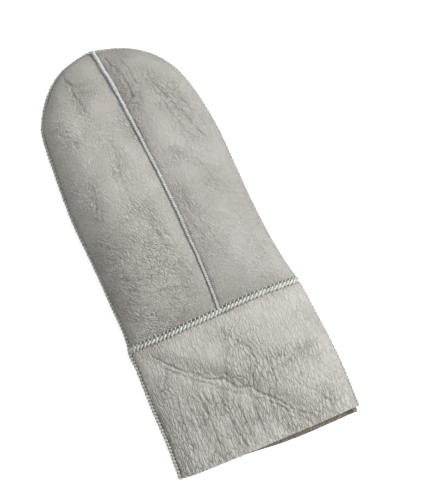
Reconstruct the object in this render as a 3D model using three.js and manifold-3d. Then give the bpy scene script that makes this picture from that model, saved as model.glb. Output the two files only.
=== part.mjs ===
// A left-hand leather mitten, lying on its palm with its back up.
// Its fingertips point along +Y, its thumb side along +X, and +Z is up.
// Every length is in millimetres.
import * as THREE from "three";
import { LoftGeometry } from "three/addons/geometries/LoftGeometry.js";
import { mergeVertices } from "three/addons/utils/BufferGeometryUtils.js";
import Module from "manifold-3d";

// Driving sizes
const handLength = 204; // cuff seam to fingertips
const handWidth = 119; // across the palm
const handHeight = 46; // from the surface it lies on to the top of the back
const cuffLength = 96; // cuff seam to hem
const cuffWidth = 136; // across the hem
const cuffHeight = 30; // across the two layers of the cuff, lying
const thumbReach = 119; // cuff seam to the tip of the folded thumb
const thumbHeight = 18; // across the folded thumb, lying
const skin = 2.5; // leather with its nap
const thumbSlit = 1; // air between the folded thumb and the palm
const restSink = 0.8; // how much of each rounded underside is flattened where it rests
const seamWidth = 3.2; // raised whip-stitched seam
const cuffSeamWidth = 4.2; // the broader seam that carries the cuff
const seamProud = 1; // how far a seam stands above the leather
const seamFlattened = 0.6; // height of a seam's middle over what it rests on, share of its half width
const seamGap = 0.3; // clearance of each seam welt in its slot
const panelGap = 0.5; // clearance between two panels under a seam

// Faceting
const stepsAcross = 13; // facets over the back, and as many under the palm
const thumbStepsAcross = 8;
const rowStep = 15; // longest facet along the hand
const seamSides = 6;
const seamStep = 9; // longest facet along a seam

// Shape of a cross-section: 2 is an ellipse, more is flatter with tighter edges
const backRoundness = 2.5;
const palmRoundness = 3.2;
const thumbRoundness = 2.4;
const tipRounding = 0.16; // share of handLength over which the fingertips round off
const thumbRounding = 0.26; // share of thumbReach over which the thumb tip rounds off

// The cuff, hem first. at: share of cuffLength. little, index: edges, shares of cuffWidth.
// back: top, share of cuffHeight. edgeL, edgeR: height of the widest line, shares of cuffHeight.
const CUFF_ROWS = [
  { at: -1.06, little: -0.53, index: 0.474, back: 0.8, edgeL: 0.4, edgeR: 0.4 },
  { at: -0.88, little: -0.518, index: 0.48, back: 0.84, edgeL: 0.4, edgeR: 0.42 },
  { at: -0.7, little: -0.51, index: 0.484, back: 0.88, edgeL: 0.42, edgeR: 0.44 },
  { at: -0.5, little: -0.508, index: 0.481, back: 0.93, edgeL: 0.43, edgeR: 0.46 },
  { at: -0.3, little: -0.503, index: 0.473, back: 0.98, edgeL: 0.45, edgeR: 0.48 },
  { at: -0.12, little: -0.496, index: 0.466, back: 1.03, edgeL: 0.46, edgeR: 0.5 },
];

// The hand up to the fingertips. at: share of handLength. little, index: edges, shares of handWidth.
// back: top, share of handHeight. edgeL, edgeR: height of the widest line, shares of handHeight.
const HAND_ROWS = [
  { at: 0.0, little: -0.565, index: 0.525, back: 0.68, edgeL: 0.32, edgeR: 0.36 },
  { at: 0.035, little: -0.55, index: 0.515, back: 0.73, edgeL: 0.32, edgeR: 0.37 },
  { at: 0.09, little: -0.543, index: 0.499, back: 0.84, edgeL: 0.33, edgeR: 0.38 },
  { at: 0.18, little: -0.544, index: 0.481, back: 0.94, edgeL: 0.34, edgeR: 0.39 },
  { at: 0.28, little: -0.543, index: 0.469, back: 1.0, edgeL: 0.34, edgeR: 0.39 },
  { at: 0.38, little: -0.547, index: 0.462, back: 1.0, edgeL: 0.34, edgeR: 0.38 },
  { at: 0.48, little: -0.552, index: 0.459, back: 0.97, edgeL: 0.33, edgeR: 0.36 },
  { at: 0.58, little: -0.545, index: 0.454, back: 0.92, edgeL: 0.32, edgeR: 0.34 },
  { at: 0.68, little: -0.531, index: 0.435, back: 0.86, edgeL: 0.31, edgeR: 0.32 },
  { at: 0.76, little: -0.519, index: 0.409, back: 0.82, edgeL: 0.3, edgeR: 0.31 },
  { at: 0.82, little: -0.501, index: 0.377, back: 0.78, edgeL: 0.3, edgeR: 0.3 },
  { at: 0.865, little: -0.461, index: 0.337, back: 0.75, edgeL: 0.29, edgeR: 0.29 },
  { at: 0.9, little: -0.42, index: 0.292, back: 0.73, edgeL: 0.29, edgeR: 0.29 },
  { at: 0.933, little: -0.369, index: 0.231, back: 0.72, edgeL: 0.28, edgeR: 0.28 },
  { at: 0.96, little: -0.311, index: 0.162, back: 0.71, edgeL: 0.28, edgeR: 0.28 },
  { at: 0.98, little: -0.249, index: 0.085, back: 0.71, edgeL: 0.28, edgeR: 0.28 },
  { at: 0.992, little: -0.176, index: 0.02, back: 0.71, edgeL: 0.28, edgeR: 0.28 },
  { at: 0.998, little: -0.11, index: -0.02, back: 0.71, edgeL: 0.28, edgeR: 0.28 },
];
const TIP = { at: 1.0, across: -0.062 };

// The folded thumb, from its root inside the heel of the hand to its tip.
// freeX, freeY: its free edge. foldX, foldY: its edge towards the fingers.
// X in shares of handWidth, Y in shares of thumbReach. thick: share of thumbHeight.
const THUMB_ROWS = [
  { freeX: 0.4, freeY: 0.06, foldX: 0.41, foldY: 0.57, thick: 0.72 },
  { freeX: 0.32, freeY: 0.035, foldX: 0.353, foldY: 0.645, thick: 0.94 },
  { freeX: 0.267, freeY: 0.118, foldX: 0.318, foldY: 0.676, thick: 1.0 },
  { freeX: 0.2, freeY: 0.206, foldX: 0.277, foldY: 0.724, thick: 1.0 },
  { freeX: 0.135, freeY: 0.27, foldX: 0.244, foldY: 0.76, thick: 1.0 },
  { freeX: 0.074, freeY: 0.324, foldX: 0.212, foldY: 0.795, thick: 1.0 },
  { freeX: 0.008, freeY: 0.4, foldX: 0.165, foldY: 0.841, thick: 1.0 },
  { freeX: -0.059, freeY: 0.512, foldX: 0.116, foldY: 0.882, thick: 1.0 },
  { freeX: -0.118, freeY: 0.6, foldX: 0.076, foldY: 0.92, thick: 1.0 },
  { freeX: -0.171, freeY: 0.688, foldX: 0.03, foldY: 0.956, thick: 0.98 },
  { freeX: -0.212, freeY: 0.765, foldX: -0.028, foldY: 0.986, thick: 0.96 },
  { freeX: -0.247, freeY: 0.83, foldX: -0.088, foldY: 1.0, thick: 0.95 },
  { freeX: -0.265, freeY: 0.871, foldX: -0.141, foldY: 0.999, thick: 0.94 },
  { freeX: -0.262, freeY: 0.912, foldX: -0.188, foldY: 0.982, thick: 0.94 },
];
const THUMB_TIP = { x: -0.24, y: 0.957 };
const foldLine = 0.29; // share of handWidth: the palm turns back here into the thumb
const liftMargin = 3; // how far beside the thumb the palm stays up
const liftFalloff = 15; // over which it then comes down to the surface
const foldRamp = 9; // over which it comes down at the fold line
const wristFlat = 6; // level palm before the rise
const wristRamp = 13; // over which it rises beyond that

// Seams, in shares: across of handWidth, along of handLength.
const CENTRE_SEAM = [
  { across: 0.024, along: 0.012 },
  { across: 0.032, along: 0.086 },
  { across: 0.038, along: 0.17 },
  { across: 0.038, along: 0.34 },
  { across: 0.029, along: 0.51 },
  { across: 0.012, along: 0.685 },
  { across: -0.009, along: 0.856 },
  { across: -0.026, along: 0.93 },
  { across: -0.045, along: 1.03 },
];
const PALM_SEAM = [
  { across: -0.62, along: 0.74 },
  { across: -0.49, along: 0.768 },
  { across: -0.42, along: 0.767 },
  { across: -0.359, along: 0.753 },
  { across: -0.236, along: 0.716 },
  { across: -0.113, along: 0.675 },
  { across: 0.009, along: 0.644 },
  { across: 0.132, along: 0.61 },
  { across: 0.254, along: 0.575 },
  { across: 0.348, along: 0.538 },
  { across: 0.54, along: 0.44 },
];
// The crotch seam runs from the thumb's fold edge to the edge of the hand.
const CROTCH_SEAM = [
  { across: 0.353, along: 0.384 },
  { across: 0.4, along: 0.383 },
  { across: 0.44, along: 0.37 },
  { across: 0.54, along: 0.35 },
];
// The cuff seam, in shares: across of handWidth, along of handLength.
const CUFF_SEAM = [
  { across: -0.62, along: 0.012 },
  { across: -0.3, along: 0.012 },
  { across: 0.0, along: 0.013 },
  { across: 0.25, along: 0.014 },
  { across: 0.42, along: 0.009 },
  { across: 0.62, along: 0.0 },
];
// The hem of the back and of the palm, in shares: across of cuffWidth, along of cuffLength.
const HEM_BACK = [
  { across: -0.6, along: -0.945 },
  { across: -0.46, along: -0.985 },
  { across: -0.08, along: -1.0 },
  { across: 0.6, along: -1.018 },
];
const HEM_PALM = [
  { across: -0.6, along: -0.945 },
  { across: -0.46, along: -0.985 },
  { across: -0.08, along: -1.005 },
  { across: 0.6, along: -1.03 },
];

// Height of the perimeter seam over the surface, in shares of handHeight, against along.
const SIDE_SEAM = [
  { along: -0.6, little: 0.24, index: 0.2 },
  { along: -0.05, little: 0.3, index: 0.2 },
  { along: 0.1, little: 0.33, index: 0.2 },
  { along: 0.4, little: 0.34, index: 0.21 },
  { along: 0.7, little: 0.3, index: 0.22 },
  { along: 0.85, little: 0.25, index: 0.22 },
  { along: 1.05, little: 0.22, index: 0.22 },
];

// Dents and folds of the back. x0, y0, x1, y1: ends, across in shares of handWidth and
// along in shares of handLength. reach: half its width, share of handHeight.
// depth: share of handHeight, minus stands up.
const FOLDS = [
  { x0: -0.5, y0: -0.02, x1: -0.12, y1: -0.21, reach: 0.152, depth: 0.0348 },
  { x0: -0.12, y0: -0.21, x1: 0.26, y1: -0.42, reach: 0.152, depth: 0.0413 },
  { x0: -0.35, y0: -0.05, x1: -0.05, y1: -0.17, reach: 0.174, depth: -0.0261 },
  { x0: 0.05, y0: -0.24, x1: 0.36, y1: -0.38, reach: 0.196, depth: -0.0283 },
  { x0: -0.36, y0: -0.48, x1: -0.33, y1: -0.24, reach: 0.152, depth: 0.0261 },
  { x0: -0.18, y0: -0.49, x1: -0.2, y1: -0.3, reach: 0.13, depth: 0.0239 },
  { x0: 0.12, y0: -0.49, x1: 0.1, y1: -0.33, reach: 0.13, depth: 0.0217 },
  { x0: -0.12, y0: 0.12, x1: -0.13, y1: 0.42, reach: 0.174, depth: 0.0283 },
  { x0: -0.45, y0: 0.11, x1: -0.12, y1: 0.17, reach: 0.152, depth: 0.0196 },
  { x0: 0.26, y0: 0.44, x1: 0.25, y1: 0.84, reach: 0.152, depth: 0.0261 },
  { x0: 0.36, y0: 0.14, x1: 0.33, y1: 0.34, reach: 0.152, depth: 0.0196 },
  { x0: -0.3, y0: 0.62, x1: -0.24, y1: 0.93, reach: 0.174, depth: 0.0217 },
  { x0: 0.1, y0: 0.62, x1: 0.08, y1: 0.9, reach: 0.174, depth: -0.0196 },
  { x0: -0.32, y0: 0.25, x1: -0.3, y1: 0.6, reach: 0.304, depth: -0.0304 },
];
const seamPull = 1.3; // how far the leather draws down beside the centre and cuff seams
const seamPullReach = 9;

// Colours of the leather and the seams
const LEATHER_BACK = 0xaba8a0;
const LEATHER_INDEX = 0xb8b6af;
const LEATHER_CUFF = 0xb3afa6;
const LEATHER_PALM = 0xaea9a2;
const LEATHER_THUMB = 0xb8b4ad;
const SEAM_THREAD = 0xc6c8c6;
const LEATHER_ROUGHNESS = 0.62;
const SEAM_ROUGHNESS = 0.8;

const kit = await Module();
kit.setup();

// Small helpers

const mix = (a, b, t) => a + (b - a) * t;
const clamp01 = (t) => Math.min(1, Math.max(0, t));
const smooth = (t) => clamp01(t) ** 2 * (3 - 2 * clamp01(t));

function solid(geometry) {
  const plain = geometry.index ? geometry.toNonIndexed() : geometry.clone();
  plain.deleteAttribute("normal");
  plain.deleteAttribute("uv");
  const merged = mergeVertices(plain, 1e-4);
  const corners = merged.index.array;
  const kept = [];
  for (let i = 0; i < corners.length; i += 3) {
    const [a, b, c] = corners.slice(i, i + 3);
    if (a !== b && b !== c && c !== a) kept.push(a, b, c);
  }
  const triVerts = new Uint32Array(kept);
  const vertProperties = merged.attributes.position.array;
  return new kit.Manifold(new kit.Mesh({ numProp: 3, vertProperties, triVerts }));
}

// A loft through closed sections, each turned the way that makes its walls face outwards.
function loft(sections, caps) {
  const [first, second] = sections;
  const middle = (section) =>
    section.reduce((sum, p) => sum.add(p), new THREE.Vector3()).divideScalar(section.length);
  const normal = new THREE.Vector3();
  first.forEach((p, i) => normal.add(new THREE.Vector3().crossVectors(p, first[(i + 1) % first.length])));
  const ahead = middle(second).sub(middle(first));
  const turned = normal.dot(ahead) < 0;
  const wound = turned ? sections.map((section) => [...section].reverse()) : sections;
  return solid(new LoftGeometry(wound, caps));
}

// The piece itself, without the crumbs that crossing cuts leave beside it.
const mainBody = (made) => made.decompose().reduce((a, b) => (a.volume() > b.volume() ? a : b));

function geometryOf(made) {
  const mesh = made.getMesh();
  const geometry = new THREE.BufferGeometry();
  const positions = new THREE.BufferAttribute(new Float32Array(mesh.vertProperties), 3);
  geometry.setAttribute("position", positions);
  geometry.setIndex(new THREE.BufferAttribute(new Uint32Array(mesh.triVerts), 1));
  geometry.computeVertexNormals();
  return geometry;
}

// Straight interpolation of column `name` of a table against its column `key`.
function lookUp(table, key, value, name) {
  const last = table.length - 1;
  if (value <= table[0][key]) return table[0][name];
  for (let i = 0; i < last; i++) {
    const [a, b] = [table[i], table[i + 1]];
    if (value <= b[key]) return mix(a[name], b[name], (value - a[key]) / (b[key] - a[key]));
  }
  return table[last][name];
}

// Distance from a point to a segment in plan.
function toSegment(x, y, ax, ay, bx, by) {
  const [dx, dy] = [bx - ax, by - ay];
  const t = clamp01(((x - ax) * dx + (y - ay) * dy) / (dx * dx + dy * dy || 1));
  return Math.hypot(x - ax - t * dx, y - ay - t * dy);
}

// Distance from a point to the outside of a polygon in plan: 0 within it.
function outsideOf(polygon, x, y) {
  let inside = false;
  let nearest = Infinity;
  polygon.forEach((a, i) => {
    const b = polygon[(i + 1) % polygon.length];
    const crosses = a.y > y !== b.y > y;
    if (crosses && x < a.x + ((y - a.y) / (b.y - a.y)) * (b.x - a.x)) inside = !inside;
    nearest = Math.min(nearest, toSegment(x, y, a.x, a.y, b.x, b.y));
  });
  return inside ? 0 : nearest;
}

// Moves an open outline, drawn clockwise round the piece, inwards in plan.
function insetOutline(points, by) {
  return points.map((p, i) => {
    const before = points[Math.max(0, i - 1)];
    const after = points[Math.min(points.length - 1, i + 1)];
    const along = new THREE.Vector2(after.x - before.x, after.y - before.y).normalize();
    return new THREE.Vector2(p.x + along.y * by, p.y - along.x * by);
  });
}

// Plan outline: rows of edge points

const cuffRows = CUFF_ROWS.map((r) => ({
  y: r.at * cuffLength,
  left: r.little * cuffWidth,
  right: r.index * cuffWidth,
  back: r.back * cuffHeight,
  edgeL: r.edgeL * cuffHeight,
  edgeR: r.edgeR * cuffHeight,
}));
const handRows = HAND_ROWS.map((r) => ({
  y: r.at * handLength,
  left: r.little * handWidth,
  right: r.index * handWidth,
  back: r.back * handHeight,
  edgeL: r.edgeL * handHeight,
  edgeR: r.edgeR * handHeight,
}));
const rows = [...cuffRows, ...handRows];
const tip = new THREE.Vector2(TIP.across * handWidth, TIP.at * handLength);

const thumbRows = THUMB_ROWS.map((r) => ({
  left: new THREE.Vector2(r.freeX * handWidth, r.freeY * thumbReach),
  right: new THREE.Vector2(r.foldX * handWidth, r.foldY * thumbReach),
  thick: r.thick * thumbHeight,
}));
const thumbTip = new THREE.Vector2(THUMB_TIP.x * handWidth, THUMB_TIP.y * thumbReach);

const thumbPolygon = [
  ...thumbRows.map((r) => r.left),
  thumbTip,
  ...thumbRows.map((r) => r.right).reverse(),
];

// How far the folded thumb lifts the palm above it, at a place in plan.
const palmLift = thumbHeight + thumbSlit;
function liftAt(x, y, inset) {
  const beside = outsideOf(thumbPolygon, x, y) - liftMargin - inset;
  const pastFold = x - foldLine * handWidth - inset;
  const fromWrist = smooth((y - wristFlat) / wristRamp);
  return palmLift * fromWrist * smooth(1 - beside / liftFalloff) * smooth(1 - pastFold / foldRamp);
}

function foldDepth(x, y) {
  let depth = 0;
  for (const f of FOLDS) {
    const ends = [f.x0 * handWidth, f.y0 * handLength, f.x1 * handWidth, f.y1 * handLength];
    const away = toSegment(x, y, ...ends) / (f.reach * handHeight);
    depth += f.depth * handHeight * Math.exp(-away * away);
  }
  return depth;
}

const acrossAt = (seam, y) => lookUp(seam, "along", y / handLength, "across") * handWidth;
const alongAt = (seam, x) => lookUp(seam, "across", x / handWidth, "along") * handLength;

// How far the leather is drawn down beside the centre seam and the cuff seam.
function pullAt(x, y) {
  const toCuff = Math.abs(y - alongAt(CUFF_SEAM, x)) / seamPullReach;
  const toCentre = y < 0 ? Infinity : Math.abs(x - acrossAt(CENTRE_SEAM, y)) / seamPullReach;
  return seamPull * (Math.exp(-toCuff * toCuff) + Math.exp(-toCentre * toCentre));
}

// Height of a rounded end: a quarter ellipse over its rounding.
const roundEnd = (left, rounding) => Math.sqrt(1 - (1 - clamp01(left / rounding)) ** 2);

// Places round a cross-section: out runs from 1 to -1 over the back and returns under the palm.
function placesRound(steps, roundnessOver, roundnessUnder) {
  return Array.from({ length: 2 * steps }, (_, i) => {
    const over = i < steps;
    const out = Math.cos((Math.PI * i) / steps);
    const roundness = over ? roundnessOver : roundnessUnder;
    const up = (1 - Math.abs(out) ** roundness) ** (1 / roundness);
    return { over, out, up };
  });
}

// One cross-section of the hand or cuff, from edge to edge.
function handSection(row, inset) {
  const { left, right } = row;
  const ending = roundEnd(tip.y - inset - left.y, tipRounding * handLength - inset);
  return placesRound(stepsAcross, backRoundness, palmRoundness).map(({ over, out, up }) => {
    const t = (1 + out) / 2;
    const x = mix(left.x, right.x, t);
    const y = mix(left.y, right.y, t);
    const edge = mix(row.edgeL, row.edgeR, t);
    const top = row.back - inset - foldDepth(x, y) - pullAt(x, y);
    const bottom = liftAt(x, y, inset) + (inset || -restSink);
    const reach = over ? top - edge : bottom - edge;
    return new THREE.Vector3(x, y, edge + reach * up * ending);
  });
}

// A table's rows and more between them, on smooth curves through its points.
function fineRows(table) {
  const columns = Object.keys(table[0]);
  const curves = columns.map((name) => {
    const points = table.map((r, i) => new THREE.Vector3(i, r[name], 0));
    return new THREE.CatmullRomCurve3(points, false, "catmullrom");
  });
  const last = table.length - 1;
  const found = [];
  for (let i = 0; i < last; i++) {
    const steps = Math.max(1, Math.round((table[i + 1].y - table[i].y) / rowStep));
    for (let k = 0; k < steps; k++) {
      const at = (i + k / steps) / last;
      found.push(Object.fromEntries(columns.map((name, j) => [name, curves[j].getPoint(at).y])));
    }
  }
  return [...found, table[last]];
}

const fine = fineRows(rows);

// The rows with the outline moved inwards.
function rowsInset(inset) {
  const outline = [
    ...fine.map((r) => new THREE.Vector2(r.left, r.y)),
    tip,
    ...fine.map((r) => new THREE.Vector2(r.right, r.y)).reverse(),
  ];
  const moved = insetOutline(outline, inset);
  return fine.map((r, i) => ({ ...r, left: moved[i], right: moved[moved.length - 1 - i] }));
}

function handSolid(inset) {
  const sections = rowsInset(inset).map((r) => handSection(r, inset));
  const end = new THREE.Vector3(tip.x, tip.y - inset, fine[fine.length - 1].edgeL);
  const closing = sections[0].map(() => end.clone());
  return loft([...sections, closing], { capStart: true });
}

function thumbSolid(inset) {
  const moved = insetOutline(thumbPolygon, inset);
  const end = moved[thumbRows.length];
  const low = inset || -restSink;
  const sections = thumbRows.map((r, k) => {
    const [left, right] = [moved[k], moved[moved.length - 1 - k]];
    const middle = left.clone().add(right).multiplyScalar(0.5);
    const ending = roundEnd(middle.distanceTo(end), thumbRounding * thumbReach - inset);
    const centre = (r.thick - inset + low) / 2;
    const half = (r.thick - inset - low) / 2;
    return placesRound(thumbStepsAcross, thumbRoundness, thumbRoundness).map(({ over, out, up }) => {
      const place = left.clone().lerp(right, (1 + out) / 2);
      const z = centre + (over ? half : -half) * up * ending;
      return new THREE.Vector3(place.x, place.y, z);
    });
  });
  const height = thumbRows[thumbRows.length - 1].thick / 2;
  const closing = sections[0].map(() => new THREE.Vector3(end.x, end.y, height));
  return loft([...sections, closing], { capStart: true });
}

// Plan prism between two heights.
function prism(points, low, high) {
  const outline = new THREE.ExtrudeGeometry(new THREE.Shape(points), {
    depth: high - low,
    bevelEnabled: false,
  });
  return solid(outline.translate(0, 0, low));
}

const wide = 1.2 * (handWidth + cuffWidth); // beyond the mitten in plan
const high = 3 * handHeight; // above the mitten

// A line of a table in plan, moved along Y by `shift`, as points from left to right.
const planLine = (table, width, length, shift) =>
  table.map((r) => new THREE.Vector2(r.across * width, r.along * length + shift));

function aboveLine(table, width, length, shift) {
  const line = planLine(table, width, length, shift);
  const [a, b] = [line[0], line[line.length - 1]];
  const far = handLength + wide;
  return prism(
    [
      new THREE.Vector2(-wide, a.y),
      ...line,
      new THREE.Vector2(wide, b.y),
      new THREE.Vector2(wide, far),
      new THREE.Vector2(-wide, far),
    ],
    -high,
    high,
  );
}

// The parting surface between back and palm, rising clear of the lifted palm.
const partingRise = 0.85; // share of the palm's lift
const partingClear = 6; // how far it stays up beyond the lifted palm
const partingSteps = { across: 16, along: 24 };
const partingMargin = 12; // beyond the edges of the mitten

function partingHeight(x, y, row) {
  const t = clamp01((x - row.left) / (row.right - row.left));
  const little = lookUp(SIDE_SEAM, "along", y / handLength, "little") * handHeight;
  const index = lookUp(SIDE_SEAM, "along", y / handLength, "index") * handHeight;
  return mix(little, index, t) + partingRise * liftAt(x, y, partingClear);
}

function rowAt(y) {
  const inside = Math.min(y, 0.985 * handLength);
  const left = lookUp(rows, "y", inside, "left");
  const right = lookUp(rows, "y", inside, "right");
  return { left, right };
}

function aboveParting(shift) {
  const sections = Array.from({ length: partingSteps.along + 1 }, (_, k) => {
    const y = mix(-1.2 * cuffLength, 1.1 * handLength, k / partingSteps.along);
    const row = rowAt(y);
    const [from, to] = [row.left - partingMargin, row.right + partingMargin];
    const section = Array.from({ length: partingSteps.across + 1 }, (__, i) => {
      const x = mix(from, to, i / partingSteps.across);
      return new THREE.Vector3(x, y, partingHeight(x, y, row) + shift);
    });
    return [...section, new THREE.Vector3(to, y, high), new THREE.Vector3(from, y, high)];
  });
  return loft(sections, { capStart: true, capEnd: true });
}

// Tubes along seam lines

function tube(points, radius, closed) {
  const curve = new THREE.CatmullRomCurve3(points, closed);
  const count = Math.max(3, Math.round(curve.getLength() / seamStep));
  const frames = curve.computeFrenetFrames(count, closed);
  const sections = Array.from({ length: count + 1 }, (_, k) => {
    const centre = curve.getPointAt(k / count);
    const use = closed ? k % count : k;
    return Array.from({ length: seamSides }, (_, i) => {
      const angle = (2 * Math.PI * i) / seamSides;
      return centre
        .clone()
        .addScaledVector(frames.normals[use], radius * Math.cos(angle))
        .addScaledVector(frames.binormals[use], radius * Math.sin(angle));
    });
  });
  if (closed) sections[count] = sections[0].map((p) => p.clone());
  return loft(sections, { capStart: !closed, capEnd: !closed });
}

// Height of the back at a place in plan.
function backAt(x, y) {
  const row = rowAt(y);
  const t = clamp01((x - row.left) / (row.right - row.left));
  const out = Math.abs(2 * t - 1);
  const up = (1 - out ** backRoundness) ** (1 / backRoundness);
  const edge = mix(lookUp(rows, "y", y, "edgeL"), lookUp(rows, "y", y, "edgeR"), t);
  const top = lookUp(rows, "y", y, "back") - foldDepth(x, y) - pullAt(x, y);
  return edge + (top - edge) * up * roundEnd(tip.y - y, tipRounding * handLength);
}

// Height of the palm's outer face at a place in plan.
function palmAt(x, y) {
  const row = rowAt(y);
  const t = clamp01((x - row.left) / (row.right - row.left));
  const up = (1 - Math.abs(2 * t - 1) ** palmRoundness) ** (1 / palmRoundness);
  const edge = mix(lookUp(rows, "y", y, "edgeL"), lookUp(rows, "y", y, "edgeR"), t);
  const bottom = liftAt(x, y, 0) - restSink;
  return edge + (bottom - edge) * up * roundEnd(tip.y - y, tipRounding * handLength);
}

// Place on the edge of the hand at a seam height below or at its widest line.
function onEdge(row, side, z) {
  const edge = side < 0 ? row.edgeL : row.edgeR;
  const ending = roundEnd(tip.y - row.left.y, tipRounding * handLength);
  const share = clamp01((edge - z) / ((edge + restSink) * ending));
  const out = (1 - share ** palmRoundness) ** (1 / palmRoundness);
  const t = (1 + side * out) / 2;
  return new THREE.Vector3(mix(row.left.x, row.right.x, t), mix(row.left.y, row.right.y, t), z);
}

// The perimeter seam, from the hem up the little-finger side, round the tip and down.
const seamSunk = seamWidth / 2 - seamProud;
const sunkRows = rowsInset(seamWidth / 2);
const seamHeight = (y, side) => lookUp(SIDE_SEAM, "along", y / handLength, side) * handHeight;
const littleSide = sunkRows.map((r) => onEdge(r, -1, seamHeight(r.left.y, "little")));
const indexSide = sunkRows.map((r) => onEdge(r, 1, seamHeight(r.right.y, "index")));
const tipSeam = new THREE.Vector3(tip.x, tip.y - seamWidth / 2, seamHeight(tip.y, "little"));
const sidePath = [...littleSide, tipSeam, ...indexSide.reverse()];

// The centre seam of the back.
const centrePath = CENTRE_SEAM.map((r) => {
  const [x, y] = [r.across * handWidth, Math.min(r.along * handLength, tip.y - seamWidth / 2)];
  return new THREE.Vector3(x, y, backAt(x, y) - seamSunk);
});

// The cuff seam, a closed ring round the wrist.
const cuffSeamSunk = cuffSeamWidth / 2 - seamProud;
const wristRow = rowsInset(cuffSeamSunk).find((r) => r.left.y >= 0);
const cuffPath = handSection(wristRow, cuffSeamSunk).map((p) => {
  const y = alongAt(CUFF_SEAM, p.x);
  return new THREE.Vector3(p.x, y, Math.max(p.z, (seamFlattened * cuffSeamWidth) / 2));
});

// The seam across the palm, flush with the surface that the mitten lies on.
const palmPath = PALM_SEAM.map((r) => {
  const [x, y] = [r.across * handWidth, r.along * handLength];
  const z = Math.max(palmAt(x, y) + seamSunk, (seamFlattened * seamWidth) / 2);
  return new THREE.Vector3(x, y, z);
});

// The thumb seam: from the cuff seam round the thumb, then along the crotch.
const thumbMiddle = thumbHeight / 2;
const sunkThumb = insetOutline(thumbPolygon, seamSunk).slice(1, -2);
const crotchHeight = (seamFlattened * seamWidth) / 2;
const thumbPath = [
  ...sunkThumb.map((p) => new THREE.Vector3(p.x, p.y, thumbMiddle)),
  ...CROTCH_SEAM.map((r) => {
    const [x, y] = [r.across * handWidth, r.along * handLength];
    return new THREE.Vector3(x, y, Math.max(palmAt(x, y) + seamSunk, crotchHeight));
  }),
];

const sideWelt = tube(sidePath, seamWidth / 2, false);
const sideSlot = tube(sidePath, seamWidth / 2 + seamGap, false);
const centreWelt = tube(centrePath, seamWidth / 2, false);
const centreSlot = tube(centrePath, seamWidth / 2 + seamGap, false);
const cuffWelt = tube(cuffPath, cuffSeamWidth / 2, true);
const cuffSlot = tube(cuffPath, cuffSeamWidth / 2 + seamGap, true);
const palmWelt = tube(palmPath, seamWidth / 2, false);
const palmSlot = tube(palmPath, seamWidth / 2 + seamGap, false);
const thumbWelt = tube(thumbPath, seamWidth / 2, false);
const thumbSlot = tube(thumbPath, seamWidth / 2 + seamGap, false);

// The leather shell, hollow and open at the hem

const floor = prism(
  [
    new THREE.Vector2(-wide, -wide),
    new THREE.Vector2(wide, -wide),
    new THREE.Vector2(wide, wide + handLength),
    new THREE.Vector2(-wide, wide + handLength),
  ],
  -high,
  0,
);
const outer = handSolid(0).add(thumbSolid(0)).subtract(floor);
const inner = handSolid(skin).add(thumbSolid(skin));
const shell = outer.subtract(inner);

// Panels

const back = shell.intersect(aboveParting(panelGap / 2));
const palm = shell.subtract(aboveParting(-panelGap / 2));
const handAbove = aboveLine(CUFF_SEAM, handWidth, handLength, panelGap / 2);
const cuffBelow = aboveLine(CUFF_SEAM, handWidth, handLength, -panelGap / 2);
const tipAbove = aboveLine(PALM_SEAM, handWidth, handLength, panelGap / 2);
const palmBelow = aboveLine(PALM_SEAM, handWidth, handLength, -panelGap / 2);

function leftOfCentre(shift) {
  const line = CENTRE_SEAM.map(
    (r) => new THREE.Vector2(r.across * handWidth + shift, r.along * handLength),
  );
  const bottom = new THREE.Vector2(line[0].x, -wide);
  const top = new THREE.Vector2(line[line.length - 1].x, wide + handLength);
  return prism(
    [bottom, ...line, top, new THREE.Vector2(-wide, top.y), new THREE.Vector2(-wide, -wide)],
    -high,
    high,
  );
}

// Plan of the thumb panel: the thumb's own outline and the heel of the hand.
function thumbPlan(grow, top) {
  const grown = insetOutline(thumbPolygon, -liftMargin / 2).slice(1, -2);
  const crotch = CROTCH_SEAM.slice(1).map(
    (r) => new THREE.Vector2(r.across * handWidth, r.along * handLength + grow),
  );
  const heel = new THREE.Vector2(crotch[crotch.length - 1].x, -0.05 * handLength);
  const wrist = new THREE.Vector2(grown[0].x, heel.y);
  return prism([wrist, ...grown, ...crotch, heel], -high, top);
}

const handPalm = palm.intersect(handAbove);
const thumbLayer = thumbPlan(-panelGap / 2, thumbMiddle - panelGap / 2);
const thumbRoom = thumbPlan(panelGap / 2, thumbMiddle + panelGap / 2);
const handBack = back.intersect(handAbove);

const pieces = {
  back_panel_outer: handBack.intersect(leftOfCentre(-panelGap / 2)),
  back_panel_index: handBack.subtract(leftOfCentre(panelGap / 2)),
  palm_tip_panel: handPalm.intersect(tipAbove),
  palm_panel: handPalm.subtract(palmBelow).subtract(thumbRoom),
  thumb_panel: handPalm.intersect(thumbLayer),
  cuff_back: back.subtract(cuffBelow).intersect(aboveLine(HEM_BACK, cuffWidth, cuffLength, 0)),
  cuff_palm: palm.subtract(cuffBelow).intersect(aboveLine(HEM_PALM, cuffWidth, cuffLength, 0)),
};
const slots = sideSlot.add(centreSlot).add(cuffSlot).add(palmSlot).add(thumbSlot);
for (const name of Object.keys(pieces)) pieces[name] = pieces[name].subtract(slots);

const hemTrim = aboveLine(HEM_PALM, cuffWidth, cuffLength, seamGap);
pieces.cuff_seam = cuffWelt.subtract(floor);
pieces.side_seam = sideWelt.subtract(cuffSlot).intersect(hemTrim);
const withinOutline = prism(
  [...sunkRows.map((r) => r.left), tip, ...sunkRows.map((r) => r.right).reverse()],
  -high,
  high,
);
const seamRoom = cuffSlot.add(sideSlot);
pieces.centre_back_seam = centreWelt.intersect(handAbove).subtract(seamRoom);
pieces.palm_seam = palmWelt.intersect(withinOutline).subtract(seamRoom).subtract(floor);
pieces.thumb_seam = thumbWelt.intersect(handAbove).intersect(withinOutline);
pieces.thumb_seam = pieces.thumb_seam.subtract(seamRoom).subtract(floor);

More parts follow.
